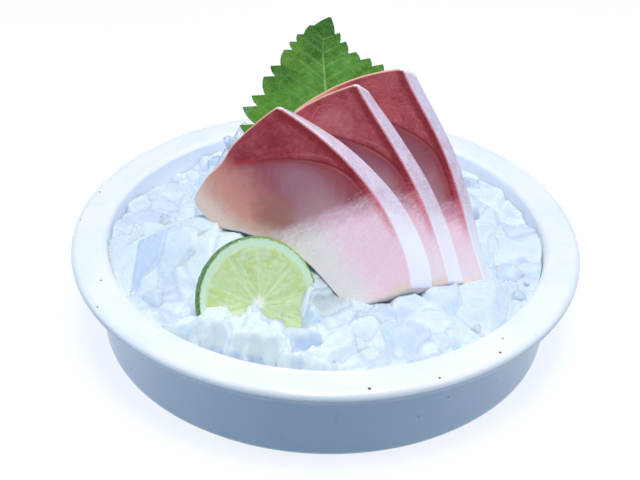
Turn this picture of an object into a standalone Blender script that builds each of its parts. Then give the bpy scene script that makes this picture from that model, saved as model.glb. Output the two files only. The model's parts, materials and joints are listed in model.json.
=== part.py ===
"""Sashimi served on crushed ice: a glazed stoneware bowl filled with ice, three slices of
yellowtail fanned one behind another, a shiso leaf standing behind them and a lime slice in front.

Blender 4.5, metres, +Z up.  The bowl stands on Z = 0 with its axis on Z, and the slices face -Y.
"""
import math

import bmesh
import bpy
import numpy as np

MM = 0.001
GAP = 0.3 * MM                    # clearance between pieces that rest on each other

# ---- bowl -----------------------------------------------------------------------------------
RIM_RADIUS = 105 * MM             # outermost circle of the lip
RIM_INNER_RADIUS = 92.5 * MM      # where the flat of the lip ends
RIM_TOP = 40 * MM
LIP_ROUNDING = 3.0 * MM           # half the lip's thickness: its edge is a half round
LIP_INNER_ROUNDING = 2.2 * MM
LIP_NECK = 1.5 * MM               # upright stretch between the cavity and the lip's rounding
LIP_HAUNCH = 2.5 * MM             # sloping corner between the wall and the lip's underside
CAVITY_RADIUS = 90.3 * MM         # inner wall just under the lip
CAVITY_DRAFT = 2.0 * MM           # how much narrower the cavity is at its floor
CAVITY_FILLET = 12 * MM
FLOOR_TOP = 7 * MM
WALL_RADIUS = 94.2 * MM           # outer wall just under the lip
WALL_DRAFT = 0.5 * MM
FOOT_ROUNDING = 3 * MM
FOOT_RING_WIDTH = 12 * MM
FOOT_RECESS = 2 * MM              # the base is hollowed inside its foot ring
TURNED_STEPS = 64

# ---- ice ------------------------------------------------------------------------------------
ICE_LEVEL = 36.4 * MM             # mean height of the bed at the bowl's axis
ICE_SLOPE = 0.032                 # the bed is lower towards +Y, so more wall shows there
CHUNK_SPACING = 13 * MM
CHUNK_LIFT = 2.4 * MM             # how far single chunks stand above or below their neighbours
CHUNK_TILT = 0.30                 # slope of a chunk's own flat top
CHUNK_ROUNDNESS = 10 * MM         # radius of a chunk's shoulders
ICE_GRID_CELLS = 42
ICE_JITTER = 0.9 * MM             # the grid's points are moved by up to this much
ICE_SEED = 11
MOULD_HEIGHT = 200 * MM
# mounds on the bed: centre, half width along X and along Y, height and steepness
HEAP = ((3 * MM, 13 * MM), (59 * MM, 50 * MM), 43 * MM, 0.8)          # holds up the slices
SHOULDER = ((-37 * MM, 44 * MM), (24 * MM, 22 * MM), 27 * MM, 1.0)    # shards beside the leaf
FRONT_MOUND = ((-25 * MM, -76 * MM), (34 * MM, 22 * MM), 5.5 * MM, 1.5)   # in front of the lime

# ---- slices ---------------------------------------------------------------------------------
LEAN = math.radians(33.5)         # slices, leaf and lime lean back by this much
STACK_FOOT = (21.3 * MM, -48.5 * MM, 42.0 * MM)      # a point of the first slice's face
SLICE_THICKNESS = 7.4 * MM
SLICE_PITCH = SLICE_THICKNESS + 2 * GAP
HEEL = (8.4 * MM, 23 * MM)        # lower left corner, along and in from the skin side's foot
BELLY_HOLLOW = 7.5 * MM
TIP_FULLNESS = 2.2 * MM
SOLE_BULGE = 1.0 * MM
CORNER_RADII = (1.2 * MM, 4.0 * MM, 3.0 * MM, 1.5 * MM)     # top, tip, heel, foot
SLICE_EDGE_ROUNDING = 0.7 * MM
# each slice: foot of its skin side across and up the stack, its turn in that plane, the length
# of the skin side, how far that bows out, where (0 foot, 1 top) and how sharply, where the tip
# lies along and in from the foot, how full the crown is, how far the back face is set over to
# the right below and above, and how far it drops at the top
SLICES = (
    {"name": "slice_front", "foot": (12.0 * MM, 3.4 * MM), "turn": math.radians(37.6),
     "chord": 87.0 * MM, "bow": (10.0 * MM, 0.45, 1.0), "tip": (77.5 * MM, 50.5 * MM),
     "crown": 1.2 * MM, "slant": (9.0 * MM, 10.0 * MM), "drop": 3.0 * MM},
    {"name": "slice_middle", "foot": (27.6 * MM, 5.2 * MM), "turn": math.radians(26.4),
     "chord": 86.0 * MM, "bow": (4.2 * MM, 0.43, 1.6), "tip": (83 * MM, 46 * MM),
     "crown": 2.6 * MM, "slant": (6.6 * MM, 7.0 * MM), "drop": 4.0 * MM},
    {"name": "slice_back", "foot": (42.6 * MM, 5.4 * MM), "turn": math.radians(22.4),
     "chord": 91.0 * MM, "bow": (3.6 * MM, 0.55, 2.0), "tip": (90 * MM, 50 * MM),
     "crown": 4.0 * MM, "slant": (3.4 * MM, 4.6 * MM), "drop": 1.0 * MM},
)
BEND_START = -4 * MM              # across the stack: left of this the slices sag backwards
BEND_RADIUS = 150 * MM
BEND_STRIP = 9 * MM               # slabs are cut into strips this wide so that they can bend

# ---- lime -----------------------------------------------------------------------------------
LIME_RADIUS = 24.6 * MM
LIME_THICKNESS = 5.2 * MM
LIME_OVAL = 0.945                 # its width is this much of its height
LIME_CENTRE = (-24.9 * MM, -56.5 * MM, 43.6 * MM)    # middle of the front face
LIME_TURN = math.radians(24)      # its face looks a little towards +X
LIME_SEGMENTS = 48
LIME_EDGE_ROUNDING = 0.9 * MM

# ---- shiso leaf -----------------------------------------------------------------------------
LEAF_LENGTH = 91 * MM
LEAF_HALF_WIDTH = 36.5 * MM
LEAF_RISE = 1.1                   # how fast it widens from the tip and from the base
LEAF_FALL = 0.9
LEAF_THICKNESS = 0.6 * MM
LEAF_TIP = (-21.9 * MM, 111.3 * MM)                  # across and up the stack's plane
LEAF_TILT = math.radians(7)       # its lower end swings towards +X
LEAF_PINCH = 0.66                 # near the tip the right half is this much of the left one
LEAF_PINCH_END = 22 * MM          # below this distance from the tip both halves are alike
TIP_CURL = 5 * MM                 # the tip curves over to the right of the midrib
TIP_CURL_LENGTH = 6 * MM
TOOTH_DEPTH = 1 * MM
TOOTH_SHARE = 0.13                # notches are deeper by this share of the half width
TOOTH_REACH = 0.5 * MM            # a tooth's tip stands this far above its notch
TEETH_LEFT = [d * MM for d in (4, 7.5, 10.2, 13, 19.5, 23.5, 30.5, 35, 43, 49, 55, 61, 67, 73, 79)]
TEETH_RIGHT = [d * MM for d in (8, 11.8, 16.3, 19.3, 22.1, 28, 34, 40, 46, 52, 58, 64, 70, 76, 81)]
STALK_LENGTH = 14 * MM
STALK_WIDTH = 2.2 * MM


# ---- helpers --------------------------------------------------------------------------------
def clear_scene():
    """Remove the objects and collections that a new file starts with."""
    for item in list(bpy.data.objects):
        bpy.data.objects.remove(item, do_unlink=True)
    for collection in list(bpy.data.collections):
        bpy.data.collections.remove(collection)


def new_collection(name):
    collection = bpy.data.collections.new(name)
    bpy.context.scene.collection.children.link(collection)
    return collection


def new_material(name, colour, roughness):
    """A plain Principled material in one colour."""
    material = bpy.data.materials.new(name)
    material.use_nodes = True
    shader = material.node_tree.nodes["Principled BSDF"]
    shader.inputs["Base Color"].default_value = (*colour, 1.0)
    shader.inputs["Roughness"].default_value = roughness
    shader.inputs["Metallic"].default_value = 0.0
    return material


def new_object(name, mesh, collection, material=None):
    """Link a mesh as an object, shaded smooth apart from its sharp edges."""
    item = bpy.data.objects.new(name, mesh)
    collection.objects.link(item)
    if material:
        mesh.materials.append(material)
    mesh.shade_smooth()
    mesh.set_sharp_from_angle(angle=math.radians(35))
    return item


def make_cutter(item):
    """A cutter only shapes other pieces, so it is never rendered."""
    item.hide_render = True
    item.display_type = "WIRE"
    return item


def add_boolean(item, cutter, operation):
    modifier = item.modifiers.new(f"{operation} {cutter.name}", "BOOLEAN")
    modifier.operation = operation
    modifier.object = cutter


def arc(centre, radius, start_degrees, end_degrees, steps):
    """Points on an arc, its start and end included."""
    angles = np.radians(np.linspace(start_degrees, end_degrees, steps + 1))
    return [(centre[0] + radius * math.cos(a), centre[1] + radius * math.sin(a)) for a in angles]


def turned_object(name, profile, collection, material=None):
    """Turn a profile of (radius, height) points round Z with a Screw modifier."""
    mesh = bpy.data.meshes.new(name)
    points = [(radius, 0.0, height) for radius, height in profile]
    edges = [(i, i + 1) for i in range(len(points) - 1)]
    mesh.from_pydata(points, edges, [])
    item = new_object(name, mesh, collection, material)
    screw = item.modifiers.new("Turn", "SCREW")
    screw.steps = TURNED_STEPS
    screw.render_steps = TURNED_STEPS
    screw.use_merge_vertices = True
    screw.merge_threshold = 0.01 * MM
    screw.use_smooth_shade = True
    return item


def bump(t, place, width):
    """A smooth hump of height 1 round t = place, zero beyond its width."""
    return np.clip(1.0 - ((np.asarray(t) - place) / width) ** 2, 0.0, 1.0) ** 2


# ---- bowl -----------------------------------------------------------------------------------
def cavity_profile(gap):
    """Inside of the bowl from its axis up to the lip, moved inwards by a gap."""
    floor_radius = CAVITY_RADIUS - CAVITY_DRAFT
    fillet_centre = (floor_radius - CAVITY_FILLET, FLOOR_TOP + CAVITY_FILLET)
    profile = [(0.0, FLOOR_TOP + gap)]
    profile += arc(fillet_centre, CAVITY_FILLET - gap, -90, 0, 5)
    profile.append((CAVITY_RADIUS - gap, RIM_TOP - LIP_INNER_ROUNDING - LIP_NECK))
    return profile


def build_bowl(collection):
    """Flat-lipped bowl: the profile runs up the inside, over the lip and down the outside."""
    edge_centre = (RIM_RADIUS - LIP_ROUNDING, RIM_TOP - LIP_ROUNDING)
    inner_centre = (RIM_INNER_RADIUS, RIM_TOP - LIP_INNER_ROUNDING)
    base_radius = WALL_RADIUS - WALL_DRAFT
    foot_centre = (base_radius - FOOT_ROUNDING, FOOT_ROUNDING)
    ring_inner = base_radius - FOOT_ROUNDING - FOOT_RING_WIDTH
    lip_underside = RIM_TOP - 2 * LIP_ROUNDING

    profile = cavity_profile(0.0)
    profile += arc(inner_centre, LIP_INNER_ROUNDING, 180, 90, 3)
    profile += arc(edge_centre, LIP_ROUNDING, 90, -90, 7)
    profile.append((WALL_RADIUS + LIP_HAUNCH, lip_underside))
    profile.append((WALL_RADIUS, lip_underside - LIP_HAUNCH))
    profile += arc(foot_centre, FOOT_ROUNDING, 0, -90, 3)
    profile.append((ring_inner, 0.0))
    profile.append((ring_inner - FOOT_RECESS, FOOT_RECESS))
    profile.append((0.0, FOOT_RECESS))
    glaze = new_material("white_glaze", (0.86, 0.92, 0.95), 0.25)
    return turned_object("bowl", profile, collection, glaze)


# ---- fish slices ----------------------------------------------------------------------------
def bulged_edge(start, end, bulge, steps):
    """Points from start towards end, pushed out to the left of the way by a bulge of t."""
    start = np.array(start)
    way = np.array(end) - start
    left = np.array((-way[1], way[0])) / np.linalg.norm(way)
    t = np.linspace(0.0, 1.0, steps + 1)
    return start + t[:, None] * way + bulge(t)[:, None] * left


def round_corner(before, corner, after, radius, steps=3):
    """Points of a smooth turn that replaces the corner between two edges."""
    corner = np.array(corner)
    into = corner + radius * (before - corner) / np.linalg.norm(before - corner)
    out = corner + radius * (after - corner) / np.linalg.norm(after - corner)
    t = np.linspace(0.0, 1.0, steps + 1)[:, None]
    return (1 - t) ** 2 * into + 2 * t * (1 - t) * corner + t ** 2 * out


def slice_outline(spec):
    """Face of a slice, across and up the stack's plane, anticlockwise.

    The skin side is a bowed chord from the foot to the top corner, and the slice hangs off it
    to the left down to its thin tip, with a shallow hollow in the belly side below.
    """
    foot = np.array(spec["foot"])
    turn = spec["turn"]
    along = np.array((-math.sin(turn), math.cos(turn)))
    inward = np.array((-math.cos(turn), -math.sin(turn)))
    top = foot + spec["chord"] * along
    tip = foot + spec["tip"][0] * along + spec["tip"][1] * inward
    heel = foot + HEEL[0] * along + HEEL[1] * inward

    bow, fullest, sharpness = spec["bow"]
    shift = math.log(0.5) / math.log(fullest)

    edges = [
        bulged_edge(foot, top,
                    lambda t: -bow * (4 * t ** shift * (1 - t ** shift)) ** sharpness, 10),
        bulged_edge(top, tip, lambda t: -spec["crown"] * np.sin(math.pi * t), 7),
        bulged_edge(tip, heel, lambda t: (BELLY_HOLLOW * bump(t, 0.62, 0.42)
                                          - TIP_FULLNESS * bump(t, 0.16, 0.16)), 12),
        bulged_edge(heel, foot, lambda t: -SOLE_BULGE * np.sin(math.pi * t), 3),
    ]
    outline = []
    for index, edge in enumerate(edges):
        following = edges[(index + 1) % len(edges)]
        outline += list(edge[1:-1])
        outline += list(round_corner(edge[-2], edge[-1], following[1], CORNER_RADII[index]))
    return np.array(outline)


def sag(across):
    """How far the stack has sunk back at a place across it: a parabola left of its start."""
    return np.clip(BEND_START - across, 0.0, None) ** 2 / (2 * BEND_RADIUS)


def grow_outline(outline, distance):
    """Move a closed anticlockwise outline outwards along its own normals."""
    way = np.roll(outline, -1, axis=0) - np.roll(outline, 1, axis=0)
    normal = np.stack((way[:, 1], -way[:, 0]), axis=1)
    normal /= np.linalg.norm(normal, axis=1)[:, None]
    return outline + distance * normal


def slab_mesh(name, outline, front, back, strip, slant=(0.0, 0.0), drop=0.0):
    """Extrude an outline from front to back depth, slanting its sides, and bend it.

    The mesh lies in the stack's own axes: X across, Z up the leaning plane and Y into depth.
    """
    mesh = bpy.data.meshes.new(name)
    shape = bmesh.new()
    corners = [shape.verts.new((x, front, z)) for x, z in outline]
    face = shape.faces.new(corners)
    extruded = bmesh.ops.extrude_face_region(shape, geom=[face])
    low, high = outline[:, 1].min(), outline[:, 1].max()
    for item in extruded["geom"]:
        if isinstance(item, bmesh.types.BMVert):
            height = (item.co.z - low) / (high - low)
            item.co.x += slant[0] + (slant[1] - slant[0]) * height
            item.co.z -= drop * height ** 2
            item.co.y = back
    left, right = min(v.co.x for v in shape.verts), max(v.co.x for v in shape.verts)
    for x in np.arange(left + strip, right - 0.3 * strip, strip):
        everything = shape.verts[:] + shape.edges[:] + shape.faces[:]
        bmesh.ops.bisect_plane(shape, geom=everything, dist=1e-7,
                               plane_co=(x, 0, 0), plane_no=(1, 0, 0))
    for vertex in shape.verts:
        vertex.co.y += sag(vertex.co.x)
    bmesh.ops.recalc_face_normals(shape, faces=shape.faces)
    shape.to_mesh(mesh)
    shape.free()
    return mesh


def place_in_stack(item):
    """Lean a piece of the stack back and set it on the ice."""
    item.location = STACK_FOOT
    item.rotation_euler = (-LEAN, 0.0, 0.0)


def build_slices(collection, cutters):
    """The three slices and, a little larger, the pockets that they press into the ice."""
    fish = new_material("yellowtail", (0.72, 0.36, 0.38), 0.35)
    pockets = []
    for index, spec in enumerate(SLICES):
        outline = slice_outline(spec)
        front = index * SLICE_PITCH
        back = front + SLICE_THICKNESS
        mesh = slab_mesh(spec["name"], outline, front, back, BEND_STRIP,
                         spec["slant"], spec["drop"])
        item = new_object(spec["name"], mesh, collection, fish)
        place_in_stack(item)
        rounding = item.modifiers.new("Soft edges", "BEVEL")
        rounding.width = SLICE_EDGE_ROUNDING
        rounding.segments = 2
        rounding.limit_method = "ANGLE"
        rounding.angle_limit = math.radians(50)

        larger = grow_outline(outline, GAP)
        mesh = slab_mesh("pocket", larger, front - GAP, back + GAP, BEND_STRIP,
                         spec["slant"], spec["drop"])
        pocket = make_cutter(new_object(f"pocket_{spec['name']}", mesh, cutters))
        place_in_stack(pocket)
        pockets.append(pocket)
    return pockets


# ---- lime -----------------------------------------------------------------------------------
def build_lime(collection, cutters):
    """A disc of lime with rounded rind, and its pocket in the ice."""
    rind = new_material("lime", (0.62, 0.74, 0.38), 0.4)
    made = []
    for grow in (0.0, GAP):
        mesh = bpy.data.meshes.new("lime_slice")
        shape = bmesh.new()
        bmesh.ops.create_cone(shape, cap_ends=True, segments=LIME_SEGMENTS,
                              radius1=LIME_RADIUS + grow, radius2=LIME_RADIUS + grow,
                              depth=LIME_THICKNESS + 2 * grow)
        for vertex in shape.verts:
            vertex.co.x *= LIME_OVAL
        shape.to_mesh(mesh)
        shape.free()
        if grow:
            item = make_cutter(new_object("pocket_lime", mesh, cutters))
        else:
            item = new_object("lime_slice", mesh, collection, rind)
            rounding = item.modifiers.new("Rind edge", "BEVEL")
            rounding.width = LIME_EDGE_ROUNDING
            rounding.segments = 2
            rounding.limit_method = "ANGLE"
            rounding.angle_limit = math.radians(50)
        made.append(item)
        # the disc's axis points at -Y, then leans up and turns towards +X
        item.rotation_euler = (math.pi / 2 - LEAN, 0.0, LIME_TURN)
        facing = item.rotation_euler.to_matrix().col[2]
        item.location = [c - f * LIME_THICKNESS / 2 for c, f in zip(LIME_CENTRE, facing)]
    return made[1]


# ---- shiso leaf -----------------------------------------------------------------------------
def leaf_half_width(distance):
    """Half width of the ovate leaf at a distance below its tip, teeth included."""
    t = distance / LEAF_LENGTH
    rise, fall = LEAF_RISE, LEAF_FALL
    fullest = rise / (rise + fall)
    peak = fullest ** rise * (1 - fullest) ** fall
    return LEAF_HALF_WIDTH * t ** rise * (1 - t) ** fall / peak


def leaf_margin(teeth, side):
    """Points down one side: for each tooth the notch above it and then its tip."""
    points = []
    for distance in teeth:
        reach = leaf_half_width(distance)
        if side > 0:
            reach *= LEAF_PINCH + (1 - LEAF_PINCH) * min(1.0, (distance / LEAF_PINCH_END) ** 3)
        notch = reach - TOOTH_DEPTH - TOOTH_SHARE * reach
        middle = -TIP_CURL * (1 - math.exp(-distance / TIP_CURL_LENGTH))
        points.append((middle + side * notch, distance + TOOTH_REACH))
        points.append((middle + side * reach, distance))
    return points


def leaf_outline():
    """Serrated outline with a short stalk, across and up the stack's plane, anticlockwise."""
    base = LEAF_LENGTH
    stalk_end = LEAF_LENGTH + STALK_LENGTH
    half = STALK_WIDTH / 2
    stalk = [(-half, base), (-half, stalk_end), (half, stalk_end), (half, base)]
    stalk = [(x - TIP_CURL, y) for x, y in stalk]
    points = [(0.0, 0.0)] + leaf_margin(TEETH_LEFT, -1) + stalk + leaf_margin(TEETH_RIGHT, 1)[::-1]
    tilt_sine, tilt_cosine = math.sin(LEAF_TILT), math.cos(LEAF_TILT)
    return np.array([(LEAF_TIP[0] + x * tilt_cosine + y * tilt_sine,
                      LEAF_TIP[1] + x * tilt_sine - y * tilt_cosine) for x, y in points])


def build_leaf(collection, cutters):
    """The leaf stands behind the last slice, and its lower end is in the ice."""
    green = new_material("shiso", (0.10, 0.32, 0.07), 0.5)
    front = len(SLICES) * SLICE_PITCH
    outline = leaf_outline()
    mesh = slab_mesh("shiso_leaf", outline, front, front + LEAF_THICKNESS, BEND_STRIP)
    leaf = new_object("shiso_leaf", mesh, collection, green)
    place_in_stack(leaf)

    larger = grow_outline(outline, GAP)
    mesh = slab_mesh("pocket", larger, front - GAP, front + LEAF_THICKNESS + GAP, BEND_STRIP)
    pocket = make_cutter(new_object("pocket_leaf", mesh, cutters))
    place_in_stack(pocket)
    return pocket


# ---- ice ------------------------------------------------------------------------------------
def stack_back_height(x, y):
    """Height of the stack's back over a place, so that the heap can stay below it."""
    depth = len(SLICES) * SLICE_PITCH + LEAF_THICKNESS + 2 * GAP + sag(x - STACK_FOOT[0])
    return STACK_FOOT[2] + (y - STACK_FOOT[1] - depth / math.cos(LEAN)) / math.tan(LEAN)


def chunk_relief(x, y):
    """Relief of the crushed ice: the highest of many tilted, round-shouldered chunk tops."""
    rng = np.random.default_rng(ICE_SEED)
    row = np.arange(-8, 9) * CHUNK_SPACING
    centre_x, centre_y = [grid.ravel() for grid in np.meshgrid(row, row)]
    centre_x = centre_x + rng.uniform(-0.35, 0.35, centre_x.size) * CHUNK_SPACING
    centre_y = centre_y + rng.uniform(-0.35, 0.35, centre_y.size) * CHUNK_SPACING
    lift = rng.uniform(-CHUNK_LIFT, CHUNK_LIFT, centre_x.size)
    tilt = rng.uniform(-CHUNK_TILT, CHUNK_TILT, (2, centre_x.size))
    dx = x[:, None] - centre_x
    dy = y[:, None] - centre_y
    tops = lift + tilt[0] * dx + tilt[1] * dy - (dx ** 2 + dy ** 2) / (2 * CHUNK_ROUNDNESS)
    return tops.max(axis=1)


def mound_height(x, y, mound):
    """A dome over an ellipse: its height falls to nothing at the ellipse's edge."""
    centre, half_size, height, steepness = mound
    away = ((x - centre[0]) / half_size[0]) ** 2 + ((y - centre[1]) / half_size[1]) ** 2
    return height * np.clip(1.0 - away, 0.0, None) ** steepness


def ice_height(x, y):
    """Height of the ice: a sloping bed of chunks with mounds that end behind the stack."""
    bed = ICE_LEVEL - ICE_SLOPE * y + chunk_relief(x, y) + mound_height(x, y, FRONT_MOUND)
    raised = bed + np.maximum(mound_height(x, y, HEAP), mound_height(x, y, SHOULDER))
    return np.minimum(raised, np.maximum(stack_back_height(x, y), bed))


def build_ice(collection, cutters, pockets):
    """Crushed ice as one block: uneven on top, filling the bowl, pressed in by what rests on it."""
    mesh = bpy.data.meshes.new("ice_bed")
    shape = bmesh.new()
    half = CAVITY_RADIUS + 2 * MM
    bmesh.ops.create_grid(shape, x_segments=ICE_GRID_CELLS, y_segments=ICE_GRID_CELLS, size=half)
    top = bmesh.ops.extrude_face_region(shape, geom=shape.faces[:])
    top_vertices = [item for item in top["geom"] if isinstance(item, bmesh.types.BMVert)]
    rng = np.random.default_rng(ICE_SEED + 1)
    places = np.array([vertex.co[:2] for vertex in top_vertices])
    inside = (np.abs(places).max(axis=1) < half * 0.99)[:, None]
    places += inside * rng.uniform(-ICE_JITTER, ICE_JITTER, places.shape)
    heights = ice_height(places[:, 0], places[:, 1])
    for vertex, place, height in zip(top_vertices, places, heights):
        vertex.co = (place[0], place[1], height)
    bmesh.ops.recalc_face_normals(shape, faces=shape.faces)
    bmesh.ops.triangulate(shape, faces=shape.faces)
    shape.to_mesh(mesh)
    shape.free()
    frozen = new_material("ice", (0.78, 0.88, 0.95), 0.2)
    ice = new_object("ice_bed", mesh, collection, frozen)

    mould_profile = cavity_profile(GAP)
    mould_profile.append((CAVITY_RADIUS - GAP, MOULD_HEIGHT))
    mould_profile.append((0.0, MOULD_HEIGHT))
    mould = make_cutter(turned_object("ice_mould", mould_profile[::-1], cutters))
    add_boolean(ice, mould, "INTERSECT")
    for pocket in pockets:
        add_boolean(ice, pocket, "DIFFERENCE")
    return ice


# ---- the whole plate ------------------------------------------------------------------------
def main():
    clear_scene()
    parts = new_collection("sashimi_plate")
    cutters = new_collection("cutters")
    build_bowl(parts)
    pockets = build_slices(parts, cutters)
    pockets.append(build_lime(parts, cutters))
    pockets.append(build_leaf(parts, cutters))
    build_ice(parts, cutters, pockets)


main()
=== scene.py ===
# %% [markdown]
# # Sashimi on crushed ice
#
# Three slices of yellowtail stand fanned on a heap of crushed ice in a white glazed bowl, with a
# shiso leaf behind them and a slice of lime in front.  The CAD frame fixes where everything is
# and how big it is; this lesson makes the fine surfaces and the finishes.  Every new piece is a
# surface worked out with numpy: a function of two parameters on a grid, put into a mesh at once.

# %% The frame
import json
import math

import bpy
import numpy as np
from mathutils import Matrix, Vector
from mathutils.bvhtree import BVHTree

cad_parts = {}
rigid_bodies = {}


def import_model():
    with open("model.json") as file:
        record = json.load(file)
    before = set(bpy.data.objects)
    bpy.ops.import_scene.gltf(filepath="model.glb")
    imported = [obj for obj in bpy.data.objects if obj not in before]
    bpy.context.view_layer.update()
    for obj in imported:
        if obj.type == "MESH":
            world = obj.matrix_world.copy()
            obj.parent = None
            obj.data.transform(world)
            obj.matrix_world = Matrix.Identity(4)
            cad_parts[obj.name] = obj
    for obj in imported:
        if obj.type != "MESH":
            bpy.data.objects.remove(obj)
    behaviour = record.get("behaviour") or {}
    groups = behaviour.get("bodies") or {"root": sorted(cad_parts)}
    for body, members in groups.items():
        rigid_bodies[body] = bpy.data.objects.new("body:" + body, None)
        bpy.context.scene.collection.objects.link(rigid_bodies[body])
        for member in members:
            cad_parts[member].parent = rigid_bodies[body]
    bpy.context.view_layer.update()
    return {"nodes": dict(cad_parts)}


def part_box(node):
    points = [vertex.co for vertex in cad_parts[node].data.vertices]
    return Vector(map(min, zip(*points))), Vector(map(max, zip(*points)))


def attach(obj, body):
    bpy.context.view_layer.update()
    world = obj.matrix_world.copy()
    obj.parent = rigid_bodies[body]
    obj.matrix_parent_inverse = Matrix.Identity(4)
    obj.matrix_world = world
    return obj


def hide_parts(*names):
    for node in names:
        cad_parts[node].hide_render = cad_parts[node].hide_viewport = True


for item in list(bpy.data.objects):
    bpy.data.objects.remove(item, do_unlink=True)
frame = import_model()
MM = 0.001

# %% [markdown]
# A grid of points becomes a mesh in one step.  The columns run round the piece and wrap; the
# rows run from one end to the other, and each end is closed by a single pole point, so every
# piece is one watertight skin.  The signed volume tells whether the faces look outwards.

# %% Grids into meshes
def make_mesh(name, points, faces):
    """A smooth mesh from an array of points and a list of face arrays, turned to face outwards."""
    fans = [np.stack((f[:, 0], f[:, i], f[:, i + 1]), 1) for f in faces for i in range(1, f.shape[1] - 1)]
    a, b, c = (points[np.concatenate(fans)[:, i]] for i in range(3))
    if np.einsum("ij,ij->i", a, np.cross(b, c)).sum() < 0:
        faces = [f[:, ::-1] for f in faces]
    corners = np.concatenate([f.ravel() for f in faces])
    sizes = np.concatenate([np.full(len(f), f.shape[1]) for f in faces])
    mesh = bpy.data.meshes.new(name)
    mesh.vertices.add(len(points))
    mesh.vertices.foreach_set("co", points.astype(np.float32).ravel())
    mesh.loops.add(len(corners))
    mesh.loops.foreach_set("vertex_index", corners.astype(np.int32))
    mesh.polygons.add(len(sizes))
    mesh.polygons.foreach_set("loop_start", (np.cumsum(sizes) - sizes).astype(np.int32))
    mesh.polygons.foreach_set("use_smooth", np.full(len(sizes), True))
    mesh.update(calc_edges=True)
    mesh.validate()
    return mesh


def grid_faces(rows, columns):
    """Faces of a rows x columns grid that wraps round, with a pole before and one after it."""
    r, c = np.meshgrid(np.arange(rows - 1), np.arange(columns), indexing="ij")
    here, beside = r * columns + c, r * columns + (c + 1) % columns
    quads = np.stack((here, beside, beside + columns, here + columns), -1).reshape(-1, 4)
    ring = np.arange(columns)
    follow = (ring + 1) % columns
    first, last = rows * columns, rows * columns + 1
    start = np.stack((np.full(columns, first), follow, ring), 1)
    end = np.stack((np.full(columns, last), ring + last - 1 - columns, follow + last - 1 - columns), 1)
    return [quads, np.concatenate((start, end))]


def close_grid(values):
    """Flatten a rows x columns grid and add the mean of its end rows as the two poles."""
    flat = values.reshape(-1, values.shape[-1])
    return np.concatenate((flat, values[:1].mean(1), values[-1:].mean(1)))


def wrapped_mesh(name, grid):
    """A closed mesh from a rows x columns x 3 grid of points that wraps round."""
    return make_mesh(name, close_grid(grid), grid_faces(*grid.shape[:2]))


def add_field(mesh, name, values):
    """Store three numbers at every point, for a material to read by name."""
    field = mesh.attributes.new(name, "FLOAT_VECTOR", "POINT")
    field.data.foreach_set("vector", values.astype(np.float32).ravel())


# %% [markdown]
# Small number helpers: a smooth step, a smooth hump and a soft random wave made of a few sines.
# The wave has its own seed each time, so the lesson gives the same plate at every run.

# %% Number helpers
WAVE_TERMS = 7                    # sines in a soft wave


def smooth_step(low, high, value):
    """0 below low, 1 above high, and a smooth S between them."""
    t = np.clip((value - low) / (high - low), 0.0, 1.0)
    return t * t * (3.0 - 2.0 * t)


def bump(t, place, width):
    """A smooth hump of height 1 round t = place, zero beyond its width."""
    return np.clip(1.0 - ((t - place) / width) ** 2, 0.0, 1.0) ** 2


def soft_wave(x, y, length, seed):
    """A random wave between about -1 and 1: a sum of sines in random directions."""
    rng = np.random.default_rng(seed)
    total = np.zeros_like(x)
    least, most = (0, 0, 0.6), (math.pi, 2 * math.pi, 1.6)
    for angle, phase, pace in rng.uniform(least, most, (WAVE_TERMS, 3)):
        way = math.cos(angle) * x + math.sin(angle) * y
        total += np.sin(2 * math.pi * way * pace / length + phase)
    return total / math.sqrt(WAVE_TERMS)


# %% [markdown]
# Shader maths reads like ordinary maths when a small class wraps a socket: each operator adds
# one Math node.  Colours would turn grey in a Math node, so they are mixed with `blend`.  Any
# other node comes from `node`, which sets its settings first and then its sockets.

# %% Shader maths
class Shade:
    """One socket of a material's node tree that understands arithmetic."""

    def __init__(self, tree, socket=None):
        self.tree = tree
        self.socket = socket

    def node(self, kind, settings=None, sockets=None, output=0):
        """Add a node, set its settings, then fill its sockets with values or links."""
        made = self.tree.nodes.new(kind)
        for name, value in (settings or {}).items():
            setattr(made, name, value)
        for name, value in (sockets or {}).items():
            if isinstance(value, Shade):
                self.tree.links.new(value.socket, made.inputs[name])
            else:
                made.inputs[name].default_value = value
        return Shade(self.tree, made.outputs[output])

    def maths(self, operation, *values):
        return self.node("ShaderNodeMath", {"operation": operation}, dict(enumerate(values)))

    def __add__(self, other):
        return self.maths("ADD", self, other)

    __radd__ = __add__

    def __mul__(self, other):
        return self.maths("MULTIPLY", self, other)

    __rmul__ = __mul__

    def __sub__(self, other):
        return self.maths("SUBTRACT", self, other)

    def __rsub__(self, other):
        return self.maths("SUBTRACT", other, self)

    def __truediv__(self, other):
        return self.maths("DIVIDE", self, other)

    def __pow__(self, other):
        return self.maths("POWER", self, other)

    def at_most(self, other):
        return self.maths("MINIMUM", self, other)

    def at_least(self, other):
        return self.maths("MAXIMUM", self, other)

    def size(self):
        return self.maths("ABSOLUTE", self)

    def step(self, low, high):
        """0 at low, 1 at high, smooth between; low may be the larger one."""
        names = {"Value": self, "From Min": low, "From Max": high}
        return self.node("ShaderNodeMapRange", {"interpolation_type": "SMOOTHSTEP"}, names)

    def parts(self):
        """The three numbers of a vector."""
        split = self.node("ShaderNodeSeparateXYZ", sockets={"Vector": self})
        outputs = split.socket.node.outputs
        return [Shade(self.tree, outputs[i]) for i in range(3)]

    def blend(self, first, second):
        """The first colour where this mask is 0, the second where it is 1."""
        settings = {"data_type": "RGBA", "clamp_factor": True}
        return self.node("ShaderNodeMix", settings, {0: self, 6: first, 7: second}, output=2)


def seen(red, green, blue):
    """A colour as the eye sees it, 0 to 255, turned into the linear light that shaders use."""
    values = np.array((red, green, blue)) / 255.0
    linear = np.where(values <= 0.04045, values / 12.92, ((values + 0.055) / 1.055) ** 2.4)
    return (*[float(v) for v in linear], 1.0)


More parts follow.
